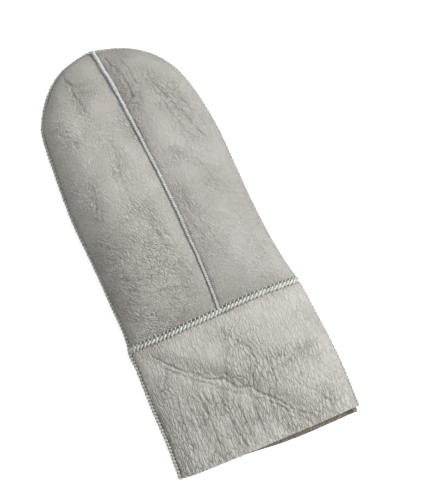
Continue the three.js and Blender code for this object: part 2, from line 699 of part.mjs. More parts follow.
const colours = {
  back_panel_outer: LEATHER_BACK,
  back_panel_index: LEATHER_INDEX,
  palm_tip_panel: LEATHER_PALM,
  palm_panel: LEATHER_PALM,
  thumb_panel: LEATHER_THUMB,
  cuff_back: LEATHER_CUFF,
  cuff_palm: LEATHER_CUFF,
};

const mitten = new THREE.Group();
for (const [name, cut] of Object.entries(pieces)) {
  const made = mainBody(cut);
  const leather = name in colours;
  const material = new THREE.MeshStandardMaterial({
    color: leather ? colours[name] : SEAM_THREAD,
    roughness: leather ? LEATHER_ROUGHNESS : SEAM_ROUGHNESS,
    metalness: 0,
  });
  const mesh = new THREE.Mesh(geometryOf(made), material);
  mesh.name = name;
  mitten.add(mesh);
}

// The origin is the middle of the underside of the whole mitten.
const box = new THREE.Box3().setFromObject(mitten);
const centre = box.getCenter(new THREE.Vector3());
mitten.children.forEach((mesh) => mesh.position.set(-centre.x, -centre.y, -box.min.z));

export default mitten;
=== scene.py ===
"""A left-hand leather mitten lying on its palm, back up, fingertips towards +Y, thumb side towards +X."""

import math

import bpy
import numpy as np
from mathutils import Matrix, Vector


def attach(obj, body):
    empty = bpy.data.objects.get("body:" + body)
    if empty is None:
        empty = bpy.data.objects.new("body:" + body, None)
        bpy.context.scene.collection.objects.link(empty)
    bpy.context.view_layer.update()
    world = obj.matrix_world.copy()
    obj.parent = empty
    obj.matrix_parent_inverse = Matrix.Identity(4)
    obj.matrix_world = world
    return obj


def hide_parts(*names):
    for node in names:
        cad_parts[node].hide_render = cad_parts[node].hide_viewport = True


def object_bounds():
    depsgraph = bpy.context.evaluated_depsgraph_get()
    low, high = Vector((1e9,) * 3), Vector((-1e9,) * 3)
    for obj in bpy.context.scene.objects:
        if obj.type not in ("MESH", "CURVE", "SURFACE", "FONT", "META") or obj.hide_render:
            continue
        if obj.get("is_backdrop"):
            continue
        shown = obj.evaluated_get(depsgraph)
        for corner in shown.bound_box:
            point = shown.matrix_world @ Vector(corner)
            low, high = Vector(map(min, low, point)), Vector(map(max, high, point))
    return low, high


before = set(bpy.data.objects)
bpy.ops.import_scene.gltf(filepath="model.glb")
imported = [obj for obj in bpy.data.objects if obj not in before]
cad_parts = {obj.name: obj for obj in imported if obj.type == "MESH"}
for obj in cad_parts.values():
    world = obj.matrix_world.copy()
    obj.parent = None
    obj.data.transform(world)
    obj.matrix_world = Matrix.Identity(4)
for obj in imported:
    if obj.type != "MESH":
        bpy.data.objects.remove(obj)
cad_box = [list(corner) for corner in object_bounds()]

# Sizes in millimetres, with Y from the cuff seam
MM = 0.001
SHIFT = np.array([2.569, -52.8, 0.0])  # from the cuff seam's middle to the middle of the underside
HAND_LENGTH, HAND_WIDTH, HAND_HEIGHT = 204.0, 119.0, 46.0
CUFF_LENGTH, CUFF_WIDTH, CUFF_HEIGHT = 96.0, 136.0, 30.0
SKIN = 2.5
BACK_ROUNDNESS, PALM_ROUNDNESS = 2.4, 3.2
TIP_ROUNDING = 0.16 * HAND_LENGTH
THUMB_HEIGHT, THUMB_LENGTH = 18.0, 95.0
THUMB_ROUNDNESS, THUMB_ROUNDING = 2.3, 28.0
PALM_LIFT = THUMB_HEIGHT + 1.0
UNDERSIDE, FLOOR_GAP = 0.25, 0.2  # height of the flat underside, and the least height of anything
SEAM_GAP, CENTRE_GAP = 0.3, 0.25  # from a seam's line to the leather's edge
TUCK_DEPTH, TUCK_REACH = 1.7, 1.6  # how far leather is drawn in at a seam
PLEAT_DEPTH, PLEAT_REACH = 0.3, 5.5
CUFF_SEAM_RISE, HAND_SEAM_RISE = 0.13, 0.05  # turn by which the little-finger side's seam is drawn up
MESH_STEP = 0.66
THREAD = 0.4  # thickness of the thread against the radius of its loop

# Cross-sections, hem first: Y, left, right, top of the back, height of the left and right widest line
CUFF_ROWS = [
    (-1.06, -0.53, 0.474, 0.8, 0.4, 0.4),
    (-0.88, -0.518, 0.48, 0.84, 0.4, 0.42),
    (-0.7, -0.51, 0.484, 0.88, 0.42, 0.44),
    (-0.5, -0.508, 0.481, 0.93, 0.43, 0.46),
    (-0.3, -0.503, 0.473, 0.98, 0.45, 0.48),
    (-0.12, -0.496, 0.466, 1.03, 0.46, 0.5),
]
HAND_ROWS = [
    (0.0, -0.565, 0.525, 0.68, 0.32, 0.36),
    (0.035, -0.55, 0.515, 0.73, 0.32, 0.37),
    (0.09, -0.543, 0.499, 0.84, 0.33, 0.38),
    (0.18, -0.544, 0.481, 0.94, 0.34, 0.39),
    (0.28, -0.543, 0.469, 1.0, 0.34, 0.39),
    (0.38, -0.547, 0.462, 1.0, 0.34, 0.38),
    (0.48, -0.552, 0.459, 0.97, 0.33, 0.36),
    (0.58, -0.545, 0.454, 0.92, 0.32, 0.34),
    (0.68, -0.531, 0.435, 0.86, 0.31, 0.32),
    (0.76, -0.519, 0.409, 0.82, 0.3, 0.31),
    (0.82, -0.501, 0.377, 0.78, 0.3, 0.3),
    (0.865, -0.461, 0.337, 0.75, 0.29, 0.29),
    (0.9, -0.42, 0.292, 0.73, 0.29, 0.29),
    (0.933, -0.369, 0.231, 0.72, 0.28, 0.28),
    (0.96, -0.311, 0.162, 0.71, 0.28, 0.28),
    (0.98, -0.249, 0.085, 0.71, 0.28, 0.28),
    (0.992, -0.176, 0.02, 0.71, 0.28, 0.28),
    (0.998, -0.11, -0.02, 0.71, 0.28, 0.28),
    (1.0, -0.062, -0.062, 0.71, 0.28, 0.28),
]
CUFF_SCALE = np.array([CUFF_LENGTH, CUFF_WIDTH, CUFF_WIDTH, CUFF_HEIGHT, CUFF_HEIGHT, CUFF_HEIGHT])
HAND_SCALE = np.array([HAND_LENGTH, HAND_WIDTH, HAND_WIDTH, HAND_HEIGHT, HAND_HEIGHT, HAND_HEIGHT])
ROWS = np.vstack([np.array(CUFF_ROWS) * CUFF_SCALE, np.array(HAND_ROWS) * HAND_SCALE])

# Seam lines in plan: X, Y
CENTRE_SEAM = [(2.9, 2.4), (3.8, 17.5), (4.5, 34.7), (4.5, 69.4), (3.5, 104.0), (1.4, 139.7), (-1.1, 174.6),
               (-3.1, 189.7), (-5.4, 210.1)]
CUFF_SEAM = [(-73.8, 2.4), (-35.7, 2.4), (0.0, 2.7), (29.8, 2.9), (50.0, 1.8), (73.8, 0.0)]
HEM_BACK = [(-81.6, -90.7), (-62.6, -94.6), (-10.9, -96.0), (81.6, -97.7)]
HEM_PALM = [(-81.6, -90.7), (-62.6, -94.6), (-20.0, -97.9), (10.0, -101.1), (40.0, -101.9), (81.6, -101.9)]
PALM_SEAM = [(-73.8, 151.0), (-58.3, 156.7), (-50.0, 156.5), (-42.7, 153.6), (-28.1, 146.1), (-13.4, 137.7),
             (1.1, 131.4), (15.7, 124.4), (30.2, 117.3), (41.4, 109.8), (64.3, 89.8)]
CROTCH_SEAM = [(42.0, 78.3), (47.6, 78.1), (52.4, 75.5), (64.3, 71.4)]
# Height of the perimeter seam against Y
SIDE_SEAM_Y = [-122.0, -10.0, 20.0, 82.0, 143.0, 173.0, 214.0]
LITTLE_SEAM_Z = [11.0, 13.8, 15.2, 15.6, 13.8, 11.5, 10.1]
INDEX_SEAM_Z = [9.2, 9.2, 9.2, 9.7, 10.1, 10.1, 10.1]

# The folded thumb: its free edge, and the far edge of its outer face, which runs up the index side of the
# heel, in along the crotch and then round the fold to the tip, with the height of that edge
FREE_EDGE = [(37.0, 2.6), (31.8, 14.0), (23.8, 24.5), (16.1, 32.1), (8.8, 38.6), (1.0, 47.6), (-7.0, 60.9),
             (-14.0, 71.4), (-20.3, 81.9), (-25.2, 91.0), (-29.4, 98.8), (-31.5, 103.6), (-31.2, 108.5),
             (-28.6, 113.9)]
FAR_EDGE = [(62.3, 1.2, 9.4), (58.4, 20.0, 9.4), (57.0, 38.0, 9.5), (56.3, 52.0, 9.5), (55.8, 64.0, 9.6),
            (55.0, 72.8, 9.4), (47.6, 77.9, 1.3), (40.3, 79.6, 3.5), (31.0, 88.5, 8.0), (20.5, 99.3, 9.0),
            (9.0, 109.5, 9.0), (-3.3, 117.3, 9.0), (-16.8, 118.9, 9.0), (-25.6, 115.6, 9.0)]
INNER_EDGE = [(33.5, 6.0), (33.5, 20.0), (33.5, 38.0), (33.5, 52.0), (33.5, 64.0), (33.5, 72.0), (34.5, 79.0),
              (33.5, 84.5), (29.0, 90.4), (20.5, 99.3), (9.0, 109.5), (-3.3, 117.3), (-16.8, 118.9),
              (-25.6, 115.6)]
THUMB_OUTLINE = [(47.6, 7.1), (38.1, 4.2), *FREE_EDGE[1:], (-22.4, 116.9), (-16.8, 118.9), (-10.5, 119.0),
                 (-3.3, 117.3), (3.6, 113.8), (9.0, 109.5), (13.8, 105.0), (19.6, 100.1), (25.2, 94.6),
                 (29.0, 90.4), (33.0, 86.2), (37.8, 80.4), (42.0, 76.8), (48.8, 67.8)]

# Dents and folds of the back: from X, Y to X, Y, half width, depth
FOLDS = [
    (-59.5, -4.1, -14.3, -42.8, 7, 1.6),
    (-14.3, -42.8, 30.9, -85.7, 7, 1.9),
    (-41.7, -10.2, -6.0, -34.7, 8, -1.2),
    (6.0, -49.0, 42.8, -77.5, 9, -1.3),
    (-42.8, -97.9, -39.3, -49.0, 7, 1.2),
    (-21.4, -100.0, -23.8, -61.2, 6, 1.1),
    (14.3, -100.0, 11.9, -67.3, 6, 1.0),
    (-14.3, 24.5, -15.5, 85.7, 8, 1.3),
    (-53.6, 22.4, -14.3, 34.7, 7, 0.5),
    (30.9, 89.8, 29.8, 171.4, 7, 1.2),
    (42.8, 28.6, 39.3, 69.4, 7, 0.9),
    (-35.7, 126.5, -28.6, 189.7, 8, 1.0),
    (11.9, 126.5, 9.5, 183.6, 8, -0.9),
    (-38.1, 51.0, -35.7, 122.4, 14, -1.4),
]


def mix(a, b, t):
    return a + (b - a) * t


def smooth(t):
    t = np.clip(t, 0.0, 1.0)
    return t * t * (3.0 - 2.0 * t)


def fade(away, reach):
    """1 on a line, falling softly to 0 within about two reaches of it."""
    return np.exp(-((away / reach) ** 2))


def through(table, s):
    """Smooth curve through the rows of a table, at row numbers s."""
    table = np.asarray(table, float)
    last = len(table) - 1
    s = np.clip(s, 0.0, last)
    i = np.minimum(np.floor(s).astype(int), last - 1)
    t = (s - i)[..., None]
    more = np.vstack([2 * table[0] - table[1], table, 2 * table[-1] - table[-2]])
    p0, p1, p2, p3 = (more[i + k] for k in range(4))
    curve = 2 * p1 + (p2 - p0) * t + (2 * p0 - 5 * p1 + 4 * p2 - p3) * t**2
    return 0.5 * (curve + (3 * p1 - p0 - 3 * p2 + p3) * t**3)


def line_y(line, x):
    """Y of a seam line at X, on a smooth curve."""
    fine = through(line, np.linspace(0, len(line) - 1, 400))
    return np.interp(x, fine[:, 0], fine[:, 1])


def line_x(line, y):
    """X of a seam line at Y, on a smooth curve."""
    fine = through(line, np.linspace(0, len(line) - 1, 400))
    return np.interp(y, fine[:, 1], fine[:, 0])


def evenly(points, step, closed=False):
    """Points an equal distance apart along a polyline, about a step each."""
    points = np.asarray(points, float)
    if closed:
        points = np.vstack([points, points[:1]])
    along = np.concatenate([[0.0], np.cumsum(np.linalg.norm(np.diff(points, axis=0), axis=1))])
    count = max(2, int(round(along[-1] / step)))
    places = np.linspace(0, along[-1], count + 1)
    if closed:
        places = places[:-1]
    return np.stack([np.interp(places, along, points[:, k]) for k in range(points.shape[1])], axis=1)


# Distance along the outline, so that mesh rows keep an even size round the fingertips
ROW_NUMBERS = np.linspace(0, len(ROWS) - 1, 5000)
OUTLINE = through(ROWS, ROW_NUMBERS)
STEPS = np.maximum(np.hypot(np.diff(OUTLINE[:, 0]), np.diff(OUTLINE[:, 1])),
                   np.hypot(np.diff(OUTLINE[:, 0]), np.diff(OUTLINE[:, 2])))
OUTLINE_Q = np.concatenate([[0.0], np.cumsum(STEPS)])
TIP_Q = OUTLINE_Q[-1] - 0.5


def rows_at(q):
    """Cross-section at distance q along the outline: the six columns of the table, in its order."""
    return np.moveaxis(through(ROWS, np.interp(q, OUTLINE_Q, ROW_NUMBERS)), -1, 0)


def q_at(y):
    return np.interp(y, OUTLINE[:, 0], OUTLINE_Q)


def outside_of(outline, x, y):
    """Distance from points to the outside of a polygon in plan, 0 within it."""
    a = np.asarray(outline, float)
    b = np.roll(a, -1, axis=0)
    x, y = np.asarray(x)[..., None], np.asarray(y)[..., None]
    edge = b - a
    t = np.clip(((x - a[:, 0]) * edge[:, 0] + (y - a[:, 1]) * edge[:, 1]) / (edge**2).sum(1), 0, 1)
    away = np.hypot(x - a[:, 0] - t * edge[:, 0], y - a[:, 1] - t * edge[:, 1]).min(-1)
    spans = (a[:, 1] > y) != (b[:, 1] > y)
    rise = np.where(edge[:, 1] == 0, 1e-9, edge[:, 1])
    crossed = spans & (x < a[:, 0] + (y - a[:, 1]) / rise * edge[:, 0])
    return np.where(crossed.sum(-1) % 2 == 1, 0.0, away)


def lift_at(x, y):
    """How far the folded thumb holds the palm up: from the heel, beside the thumb, to the index edge."""
    from_heel = smooth((y - 6.0) / 13.0)
    beside = smooth(1 - (outside_of(THUMB_OUTLINE, x, y) - 3.0) / 15.0)
    return PALM_LIFT * from_heel * beside * smooth(1 - (x - 34.5) / 9.0)


def to_line(x, y, x0, y0, x1, y1):
    """Distance from points to a straight line between two ends."""
    dx, dy = x1 - x0, y1 - y0
    t = np.clip(((x - x0) * dx + (y - y0) * dy) / (dx * dx + dy * dy), 0, 1)
    return np.hypot(x - x0 - t * dx, y - y0 - t * dy)


def sag_at(x, y):
    """How far the back is drawn down by its folds and beside its seams."""
    sag = 1.3 * fade(y - line_y(CUFF_SEAM, x), 9.0)
    sag += np.where(y > 0, 1.3 * fade(x - line_x(CENTRE_SEAM, y), 9.0), 0.0)
    for x0, y0, x1, y1, reach, depth in FOLDS:
        sag += depth * fade(to_line(x, y, x0, y0, x1, y1), reach)
    return sag


def round_end(left, rounding):
    """Share of the full height that is reached so far before a rounded end."""
    return np.sqrt(1 - (1 - np.clip(left / rounding, 0, 1)) ** 2)


def skin_at(q, turn):
    """Outer face of hand and cuff. turn runs from 0 at the index edge over the back to pi, then below."""
    y, left, right, back, edge_left, edge_right = rows_at(q)
    left = left + 0.9 * smooth((HAND_LENGTH - y) / 4.0)
    out = np.cos(turn)
    over = np.sin(turn) >= 0
    t = (1 + out) / 2
    x = mix(left, right, t)
    edge = mix(edge_left, edge_right, t)
    roundness = np.where(over, BACK_ROUNDNESS, PALM_ROUNDNESS)
    up = (1 - np.minimum(np.abs(out), 1.0) ** roundness) ** (1 / roundness)
    reach = np.where(over, back - sag_at(x, y) - edge, lift_at(x, y) - 0.8 - edge)
    z = edge + reach * up * round_end(HAND_LENGTH - y, TIP_ROUNDING)
    return np.stack([x, y + 0 * x, np.maximum(z, UNDERSIDE)], axis=-1)


def seam_turn(q, side):
    """How far below the widest line the perimeter seam lies, as a turn."""
    y, _, _, _, edge_left, edge_right = rows_at(q)
    edge = edge_left if side < 0 else edge_right
    height = np.interp(y, SIDE_SEAM_Y, LITTLE_SEAM_Z if side < 0 else INDEX_SEAM_Z)
    ending = np.maximum(round_end(HAND_LENGTH - y, TIP_ROUNDING), 0.05)
    share = np.clip((edge - height) / ((edge + 0.8) * ending), 0, 0.55)
    return np.arccos((1 - share**PALM_ROUNDNESS) ** (1 / PALM_ROUNDNESS))


def centre_turn(q):
    """Where the centre seam lies on the back."""
    y, left, right = rows_at(q)[:3]
    out = 2 * (line_x(CENTRE_SEAM, y) - left) / np.maximum(right - left, 0.5) - 1
    return np.arccos(np.clip(out, -0.85, 0.85))


def little_turn(q):
    """The seam of the little-finger side, drawn up a little so that it shows from above, most at the cuff."""
    y = rows_at(q)[0]
    return np.pi + seam_turn(q, -1) - mix(CUFF_SEAM_RISE, HAND_SEAM_RISE, smooth((y + 14.0) / 16.0))


def index_turn(q):
    return -seam_turn(q, 1)


def index_turn_below(q):
    return 2 * np.pi + index_turn(q)


def lattice_noise(x, y, seed):
    """Smooth values from -1 to 1 that change over about one unit."""
    table = np.random.default_rng(seed).uniform(-1, 1, (61, 67))
    i, j = np.floor(x).astype(int), np.floor(y).astype(int)
    tx, ty = smooth(x - i), smooth(y - j)
    corner = lambda a, b: table[(j + b) % 61, (i + a) % 67]
    return mix(mix(corner(0, 0), corner(1, 0), tx), mix(corner(0, 1), corner(1, 1), tx), ty)


def wrinkle_net(x, y, across, along, seed, width=0.24):
    """Fine branching creases that run mostly along Y: 1 in their middle, 0 on the puffs between them."""
    bent_x = x + 0.7 * across * lattice_noise(x / (3.0 * across), y / (0.8 * along), seed + 1)
    level = 0.7 * lattice_noise(bent_x / across, y / along, seed)
    level += 0.3 * lattice_noise(bent_x / (0.6 * across), y / (0.5 * along), seed + 2)
    return fade(level, width)


def clear_selection():
    bpy.ops.object.select_all(action="DESELECT")


def select_only(piece):
    clear_selection()
    piece.select_set(True)
    bpy.context.view_layer.objects.active = piece


def normals_of(points):
    normal = np.cross(np.gradient(points, axis=1), np.gradient(points, axis=0))
    return normal / np.maximum(np.linalg.norm(normal, axis=-1, keepdims=True), 1e-9)


def lengths(points, axis):
    """Distance along each row or column of a grid of points."""
    step = np.linalg.norm(np.diff(points, axis=axis), axis=-1)
    start = np.zeros_like(np.take(step, [0], axis=axis))
    return np.concatenate([start, np.cumsum(step, axis=axis)], axis=axis)


def to_part(points):
    return (np.asarray(points) + SHIFT) * MM


def leather_sheet(name, shape, rows, columns, relief, tucked=(1, 1, 1, 1), dropped=None):
    """A panel from a grid: bent onto its shape, wrinkled, tucked in at its seams and given a wall.

    tucked is how far each of its four edges is drawn in and how dark its painted shade is: at the start and
    end of a row, then at the first and last row. dropped marks the points that are cut away."""
    clear_selection()
    bpy.ops.mesh.primitive_grid_add(x_subdivisions=columns, y_subdivisions=rows, size=1.0)
    piece = bpy.context.object
    piece.name = piece.data.name = name
    flat = np.empty(len(piece.data.vertices) * 3)
    piece.data.vertices.foreach_get("co", flat)
    flat = flat.reshape(-1, 3) + 0.5
    wide = int(np.sum(np.abs(flat[:, 1] - flat[0, 1]) < 1e-6))
    w = flat[:, 0].reshape(-1, wide)
    v = flat[:, 1].reshape(-1, wide)
    points = shape(v, w)
    normal = normals_of(points)
    across, along = lengths(points, 1), lengths(points, 0)
    start, end, low, high = tucked
    tuck, seam_painted_shade = np.zeros_like(v), np.zeros_like(v)
    across_back, along_back = across[:, -1:] - across, along[-1:] - along
    for on, away in ((start, across), (end, across_back), (low, along), (high, along_back)):
        tuck = np.maximum(tuck, on * fade(away, TUCK_REACH))
        # painted shade beside each tucked edge: a dark line at the seam and a fainter band further in
        seam_painted_shade = np.maximum(seam_painted_shade, on * np.maximum(fade(away, 1.4), 0.25 * fade(away, 4.5)))
    beside, ahead = np.minimum(across, across_back), np.minimum(along, along_back)
    near = np.minimum(beside, ahead)
    x, y, z = points[..., 0], points[..., 1], points[..., 2]
    spread = x + np.sign(x) * (15.0 - z) * 0.6
    detail, broad, wrinkled = relief(x, y, spread)
    inner = smooth(near / 4.0)
    side_pleats, end_pleats = lattice_noise(y / 1.5, spread / 7.0, 5), lattice_noise(x / 1.5, y / 7.0, 6)
    pleats = PLEAT_DEPTH * np.where(beside < ahead, side_pleats, end_pleats) * fade(near, PLEAT_REACH)
    detail = detail * mix(0.6, 1.0, inner) + pleats * min(1, sum(tucked))
    points = points - normal * (detail + broad * mix(0.35, 1.0, inner) + TUCK_DEPTH * tuck)[..., None]
    points[..., 2] = np.maximum(points[..., 2], FLOOR_GAP)
    piece.data.vertices.foreach_set("co", to_part(points).reshape(-1))
    # painted shade in the colour: darker where creases and dents sink the skin, and beside the seams
    hollow = np.clip(0.7 * np.maximum(detail, 0) + seam_painted_shade, 0, 1)
    for label, value in (("hollow", hollow), ("wrinkled", wrinkled)):
        piece.data.attributes.new(label, "FLOAT", "POINT").data.foreach_set("value", value.reshape(-1))
    piece.data.update()
    if dropped is not None:
        gone = dropped(points).reshape(-1)
        for part in (piece.data.polygons, piece.data.edges):
            part.foreach_set("select", [False] * len(part))
        piece.data.vertices.foreach_set("select", gone)
        bpy.ops.object.mode_set(mode="EDIT")
        bpy.ops.mesh.delete(type="VERT")
        bpy.ops.object.mode_set(mode="OBJECT")
    wall = piece.modifiers.new("wall", "SOLIDIFY")
    wall.thickness = SKIN * MM
    wall.offset = -1
    wall.use_even_offset = False
    wall.material_offset = 1
    wall.material_offset_rim = 1
    return piece


def finish_sheet(piece):
    """Applies the wall once both materials are on the piece."""
    select_only(piece)
    bpy.ops.object.modifier_apply(modifier="wall")
    bpy.ops.object.shade_smooth_by_angle(angle=math.radians(50))


def skin_shape(low, high, start, end):
    """Maps a grid onto the skin between two lines across, low and high, and two turns, start and end."""

    def shape(v, w):
        even = w.copy()
        turn_w = w.copy()
        q = mix(low(np.zeros_like(v)), high(np.zeros_like(v)), v)
        for _ in range(8):
            points = skin_at(q, mix(start(q), end(q), turn_w))
            length = lengths(points, 1)
            for k in range(len(v)):
                turn_w[k] = np.interp(even[k], length[k] / length[k, -1], turn_w[k])
            q = mix(low(points[..., 0]), high(points[..., 0]), v)
        return skin_at(q, mix(start(q), end(q), turn_w))

    return shape


def at_line(line, shift):
    return lambda x: q_at(line_y(line, x) + shift)


def at_tip(x):
    return np.full_like(np.asarray(x, float), TIP_Q)


def shifted(turn, by):
    """A turn moved along the skin by so many millimetres, at a place where the skin is nearly flat."""

    def moved(q):
        _, left, right = rows_at(q)[:3]
        return turn(q) + by / np.maximum((right - left) / 2, 6.0)

    return moved


def thumb_edges(v, edge):
    return through(edge, v * (len(edge) - 1))


def thumb_shape(edge, down):
    """Maps a grid onto one face of the folded thumb, between its free edge and another edge."""
    middle = THUMB_HEIGHT / 2

    def bend(away, reach):
        return 1 - (1 - np.clip(1 - away / reach, 0, 1) ** THUMB_ROUNDNESS) ** (1 / THUMB_ROUNDNESS)

    def shape(v, w):
        free, far = thumb_edges(v, FREE_EDGE), thumb_edges(v, edge)
        from_free = 1 - w if down else w
        plan = mix(free, far[..., :2], from_free[..., None])
        chord = np.linalg.norm(far[..., :2] - free, axis=-1)
        to_free, to_far = chord * from_free, chord * (1 - from_free)
        rise = np.minimum(11.0, chord / 2 + 0.01)
        if down:
            z = UNDERSIDE + (middle - UNDERSIDE) * bend(to_free, rise)
            z += (far[..., 2] - UNDERSIDE) * bend(to_far, rise)
        else:
            z = THUMB_HEIGHT - middle * (bend(to_free, rise) + bend(to_far, rise) * (v >= 0.5))
        ending = round_end((1 - v) * THUMB_LENGTH, THUMB_ROUNDING)
        z = middle + (z - middle) * np.maximum(ending, 0.02)
        return np.stack([plan[..., 0], plan[..., 1], z], axis=-1)

    return shape


# Wrinkles of each panel: how deep the skin is sunk, in millimetres


def crease_set(x, y, creases):
    """Listed creases, each with a depth, a half width and the points that it wanders through.

    Gives how deep the skin is sunk, and how near it is to a crease, from 0 to 1."""

    def wander(seed):
        return lattice_noise(x / 7, y / 7, seed) + 0.45 * lattice_noise(x / 2.4, y / 2.4, seed + 2)

    sunk, near = np.zeros_like(x), np.zeros_like(x)
    bend_x, bend_y = x + wander(201), y + wander(202)
    patchy = mix(0.5, 1.0, smooth(0.6 + 0.8 * lattice_noise(x / 8, y / 8, 205)))
    for depth, reach, line in creases:
        away = np.full_like(x, 99.0)
        for (x0, y0), (x1, y1) in zip(line, line[1:]):
            away = np.minimum(away, to_line(bend_x, bend_y, x0, y0, x1, y1))
        sunk += depth * patchy * (fade(away, 0.85 * reach) - 0.4 * fade(away - 2.0 * reach, reach))
        near = np.maximum(near, fade(away, 5.5))
    return sunk, near


# Depth, half width and points: at the tip, along the hand, beside the centre seam, then low on the left
HAND_CREASES = [
    (0.6, 1.0, [(-29.7, 194.2), (-28.2, 187.7), (-28.5, 180.5), (-27.9, 172.9), (-26.6, 166.5)]),
    (0.5, 1.0, [(-31.4, 192.8), (-26.4, 186.9), (-19.5, 184.4), (-14.5, 184.0)]),
    (0.4, 1.0, [(-25.3, 182.7), (-20.2, 177.6), (-12.8, 179.4)]),
    (0.35, 1.3, [(-18.2, 139.3), (-19.0, 130.8), (-19.9, 122.4), (-21.2, 112.7), (-21.4, 102.5),
                 (-20.8, 90.6), (-17.3, 78.7), (-13.8, 66.9), (-10.8, 53.8), (-7.3, 42.0), (-3.6, 33.8)]),
    (0.55, 1.0, [(24.5, 176.0), (25.6, 165.2), (29.0, 156.4), (31.8, 147.8), (34.4, 142.2), (37.3, 132.2),
                 (40.7, 123.3), (42.8, 117.7)]),
    (0.45, 1.0, [(26.3, 150.3), (28.6, 139.0), (31.4, 128.9), (34.5, 119.4)]),
    (0.4, 1.0, [(36.0, 160.0), (39.0, 150.0), (43.0, 138.0), (46.0, 126.0)]),
    (0.35, 1.0, [(31.3, 105.5), (34.1, 95.4), (36.5, 87.0), (37.6, 82.9)]),
    (1.0, 1.0, [(6.5, 187.1), (8.0, 179.4), (8.2, 172.2), (7.9, 163.7)]),
    (0.8, 1.0, [(0.8, 195.8), (5.6, 186.2), (6.2, 178.6)]),
    (0.7, 0.9, [(11.0, 190.0), (13.5, 182.0), (14.0, 172.0)]),
    (0.4, 1.1, [(-62.5, 82.7), (-50.8, 76.0), (-40.2, 66.9)]),
    (0.35, 1.1, [(-61.5, 75.0), (-51.6, 67.6), (-39.9, 60.9)]),
    (0.45, 1.1, [(-50.8, 43.1), (-37.0, 34.4), (-20.7, 31.6), (-10.2, 25.4)]),
    (0.4, 1.1, [(-57.0, 55.4), (-45.9, 47.5), (-30.7, 42.2)]),
    (0.4, 1.1, [(-57.3, 35.0), (-45.6, 28.3), (-29.9, 24.2)]),
    (0.3, 1.1, [(-49.1, 158.9), (-44.7, 155.5), (-40.3, 149.1)]),
    (0.3, 1.2, [(-42.4, 117.8), (-45.0, 107.2), (-47.4, 99.5)]),
    (0.35, 1.2, [(-18.4, 89.5), (-14.3, 78.9), (-13.1, 65.1), (-15.7, 56.0)]),
    (0.15, 1.0, [(20.0, 116.4), (27.5, 110.1), (32.8, 99.0)]),
    (0.35, 1.0, [(-3.1, 150.1), (-0.4, 143.1), (2.0, 134.9)]),
    (0.3, 1.2, [(12.0, 90.0), (14.0, 74.0), (19.0, 58.0), (22.0, 44.0)]),
    (0.3, 1.2, [(8.0, 76.0), (11.0, 60.0), (12.0, 44.0)]),
]
# As the hand's, beginning with the two long folds that cross the cuff
CUFF_CREASES = [
    (0.75, 0.9, [(-52.9, -6.0), (-46.8, -15.1), (-39.1, -23.6), (-29.7, -30.9), (-22.4, -37.4),
                 (-14.1, -41.7), (-7.3, -49.2), (0.5, -54.5), (5.2, -61.1), (10.6, -66.0), (17.7, -73.0),
                 (23.2, -80.5), (29.7, -86.0), (35.7, -92.4)]),
    (0.6, 0.9, [(-48.2, -18.3), (-42.4, -25.3), (-30.4, -34.5), (-21.7, -42.5), (-15.1, -49.5), (-7.3, -54.9),
                (-0.6, -59.8), (6.5, -66.7), (12.9, -73.2), (20.0, -80.1), (25.5, -86.7), (31.9, -95.2)]),
    (0.4, 0.9, [(-47.1, -20.0), (-51.5, -25.7), (-57.5, -31.9)]),
    (0.4, 0.9, [(-0.1, -13.0), (-3.6, -24.2), (-8.6, -32.1), (-11.8, -42.1)]),
    (0.45, 0.9, [(0.7, -14.0), (5.0, -21.6), (11.5, -28.3), (13.0, -37.9), (8.6, -44.8), (3.5, -54.0)]),
    (0.35, 0.9, [(19.3, -40.7), (20.8, -50.2), (17.7, -61.6), (15.9, -68.4)]),
    (0.5, 0.9, [(30.0, -59.4), (35.1, -68.0), (42.2, -75.0), (45.3, -82.1), (48.9, -86.9)]),
    (0.4, 0.9, [(33.2, -60.9), (37.7, -67.9), (45.2, -73.8)]),
    (0.3, 0.9, [(26.0, -39.9), (33.1, -44.0), (40.2, -42.4), (50.3, -45.3)]),
    (0.5, 0.9, [(-36.3, -40.1), (-33.7, -51.4), (-34.2, -63.9), (-34.1, -77.9), (-34.1, -89.3)]),
    (0.5, 0.9, [(-30.9, -45.0), (-27.6, -60.5), (-26.4, -75.0), (-26.4, -86.4), (-25.0, -94.6)]),
    (0.4, 0.9, [(-41.7, -35.1), (-43.3, -47.1), (-42.7, -60.1), (-43.2, -72.6)]),
    (0.4, 0.9, [(-48.1, -32.3), (-50.7, -43.8), (-52.2, -55.9), (-51.6, -68.8), (-54.2, -80.4)]),
    (0.55, 0.9, [(-22.3, -51.4), (-21.7, -64.4), (-20.1, -77.8), (-17.4, -91.7)]),
    (0.5, 0.9, [(-11.1, -57.6), (-11.1, -69.1), (-11.6, -81.6), (-12.2, -91.5)]),
    (0.45, 0.9, [(-1.4, -64.5), (-2.0, -74.4), (-2.0, -85.8), (-1.2, -92.5)]),
    (0.4, 0.9, [(8.7, -70.3), (9.2, -80.6), (6.9, -88.5)]),
    (0.35, 0.9, [(17.9, -78.2), (17.8, -87.0), (17.5, -93.3)]),
]


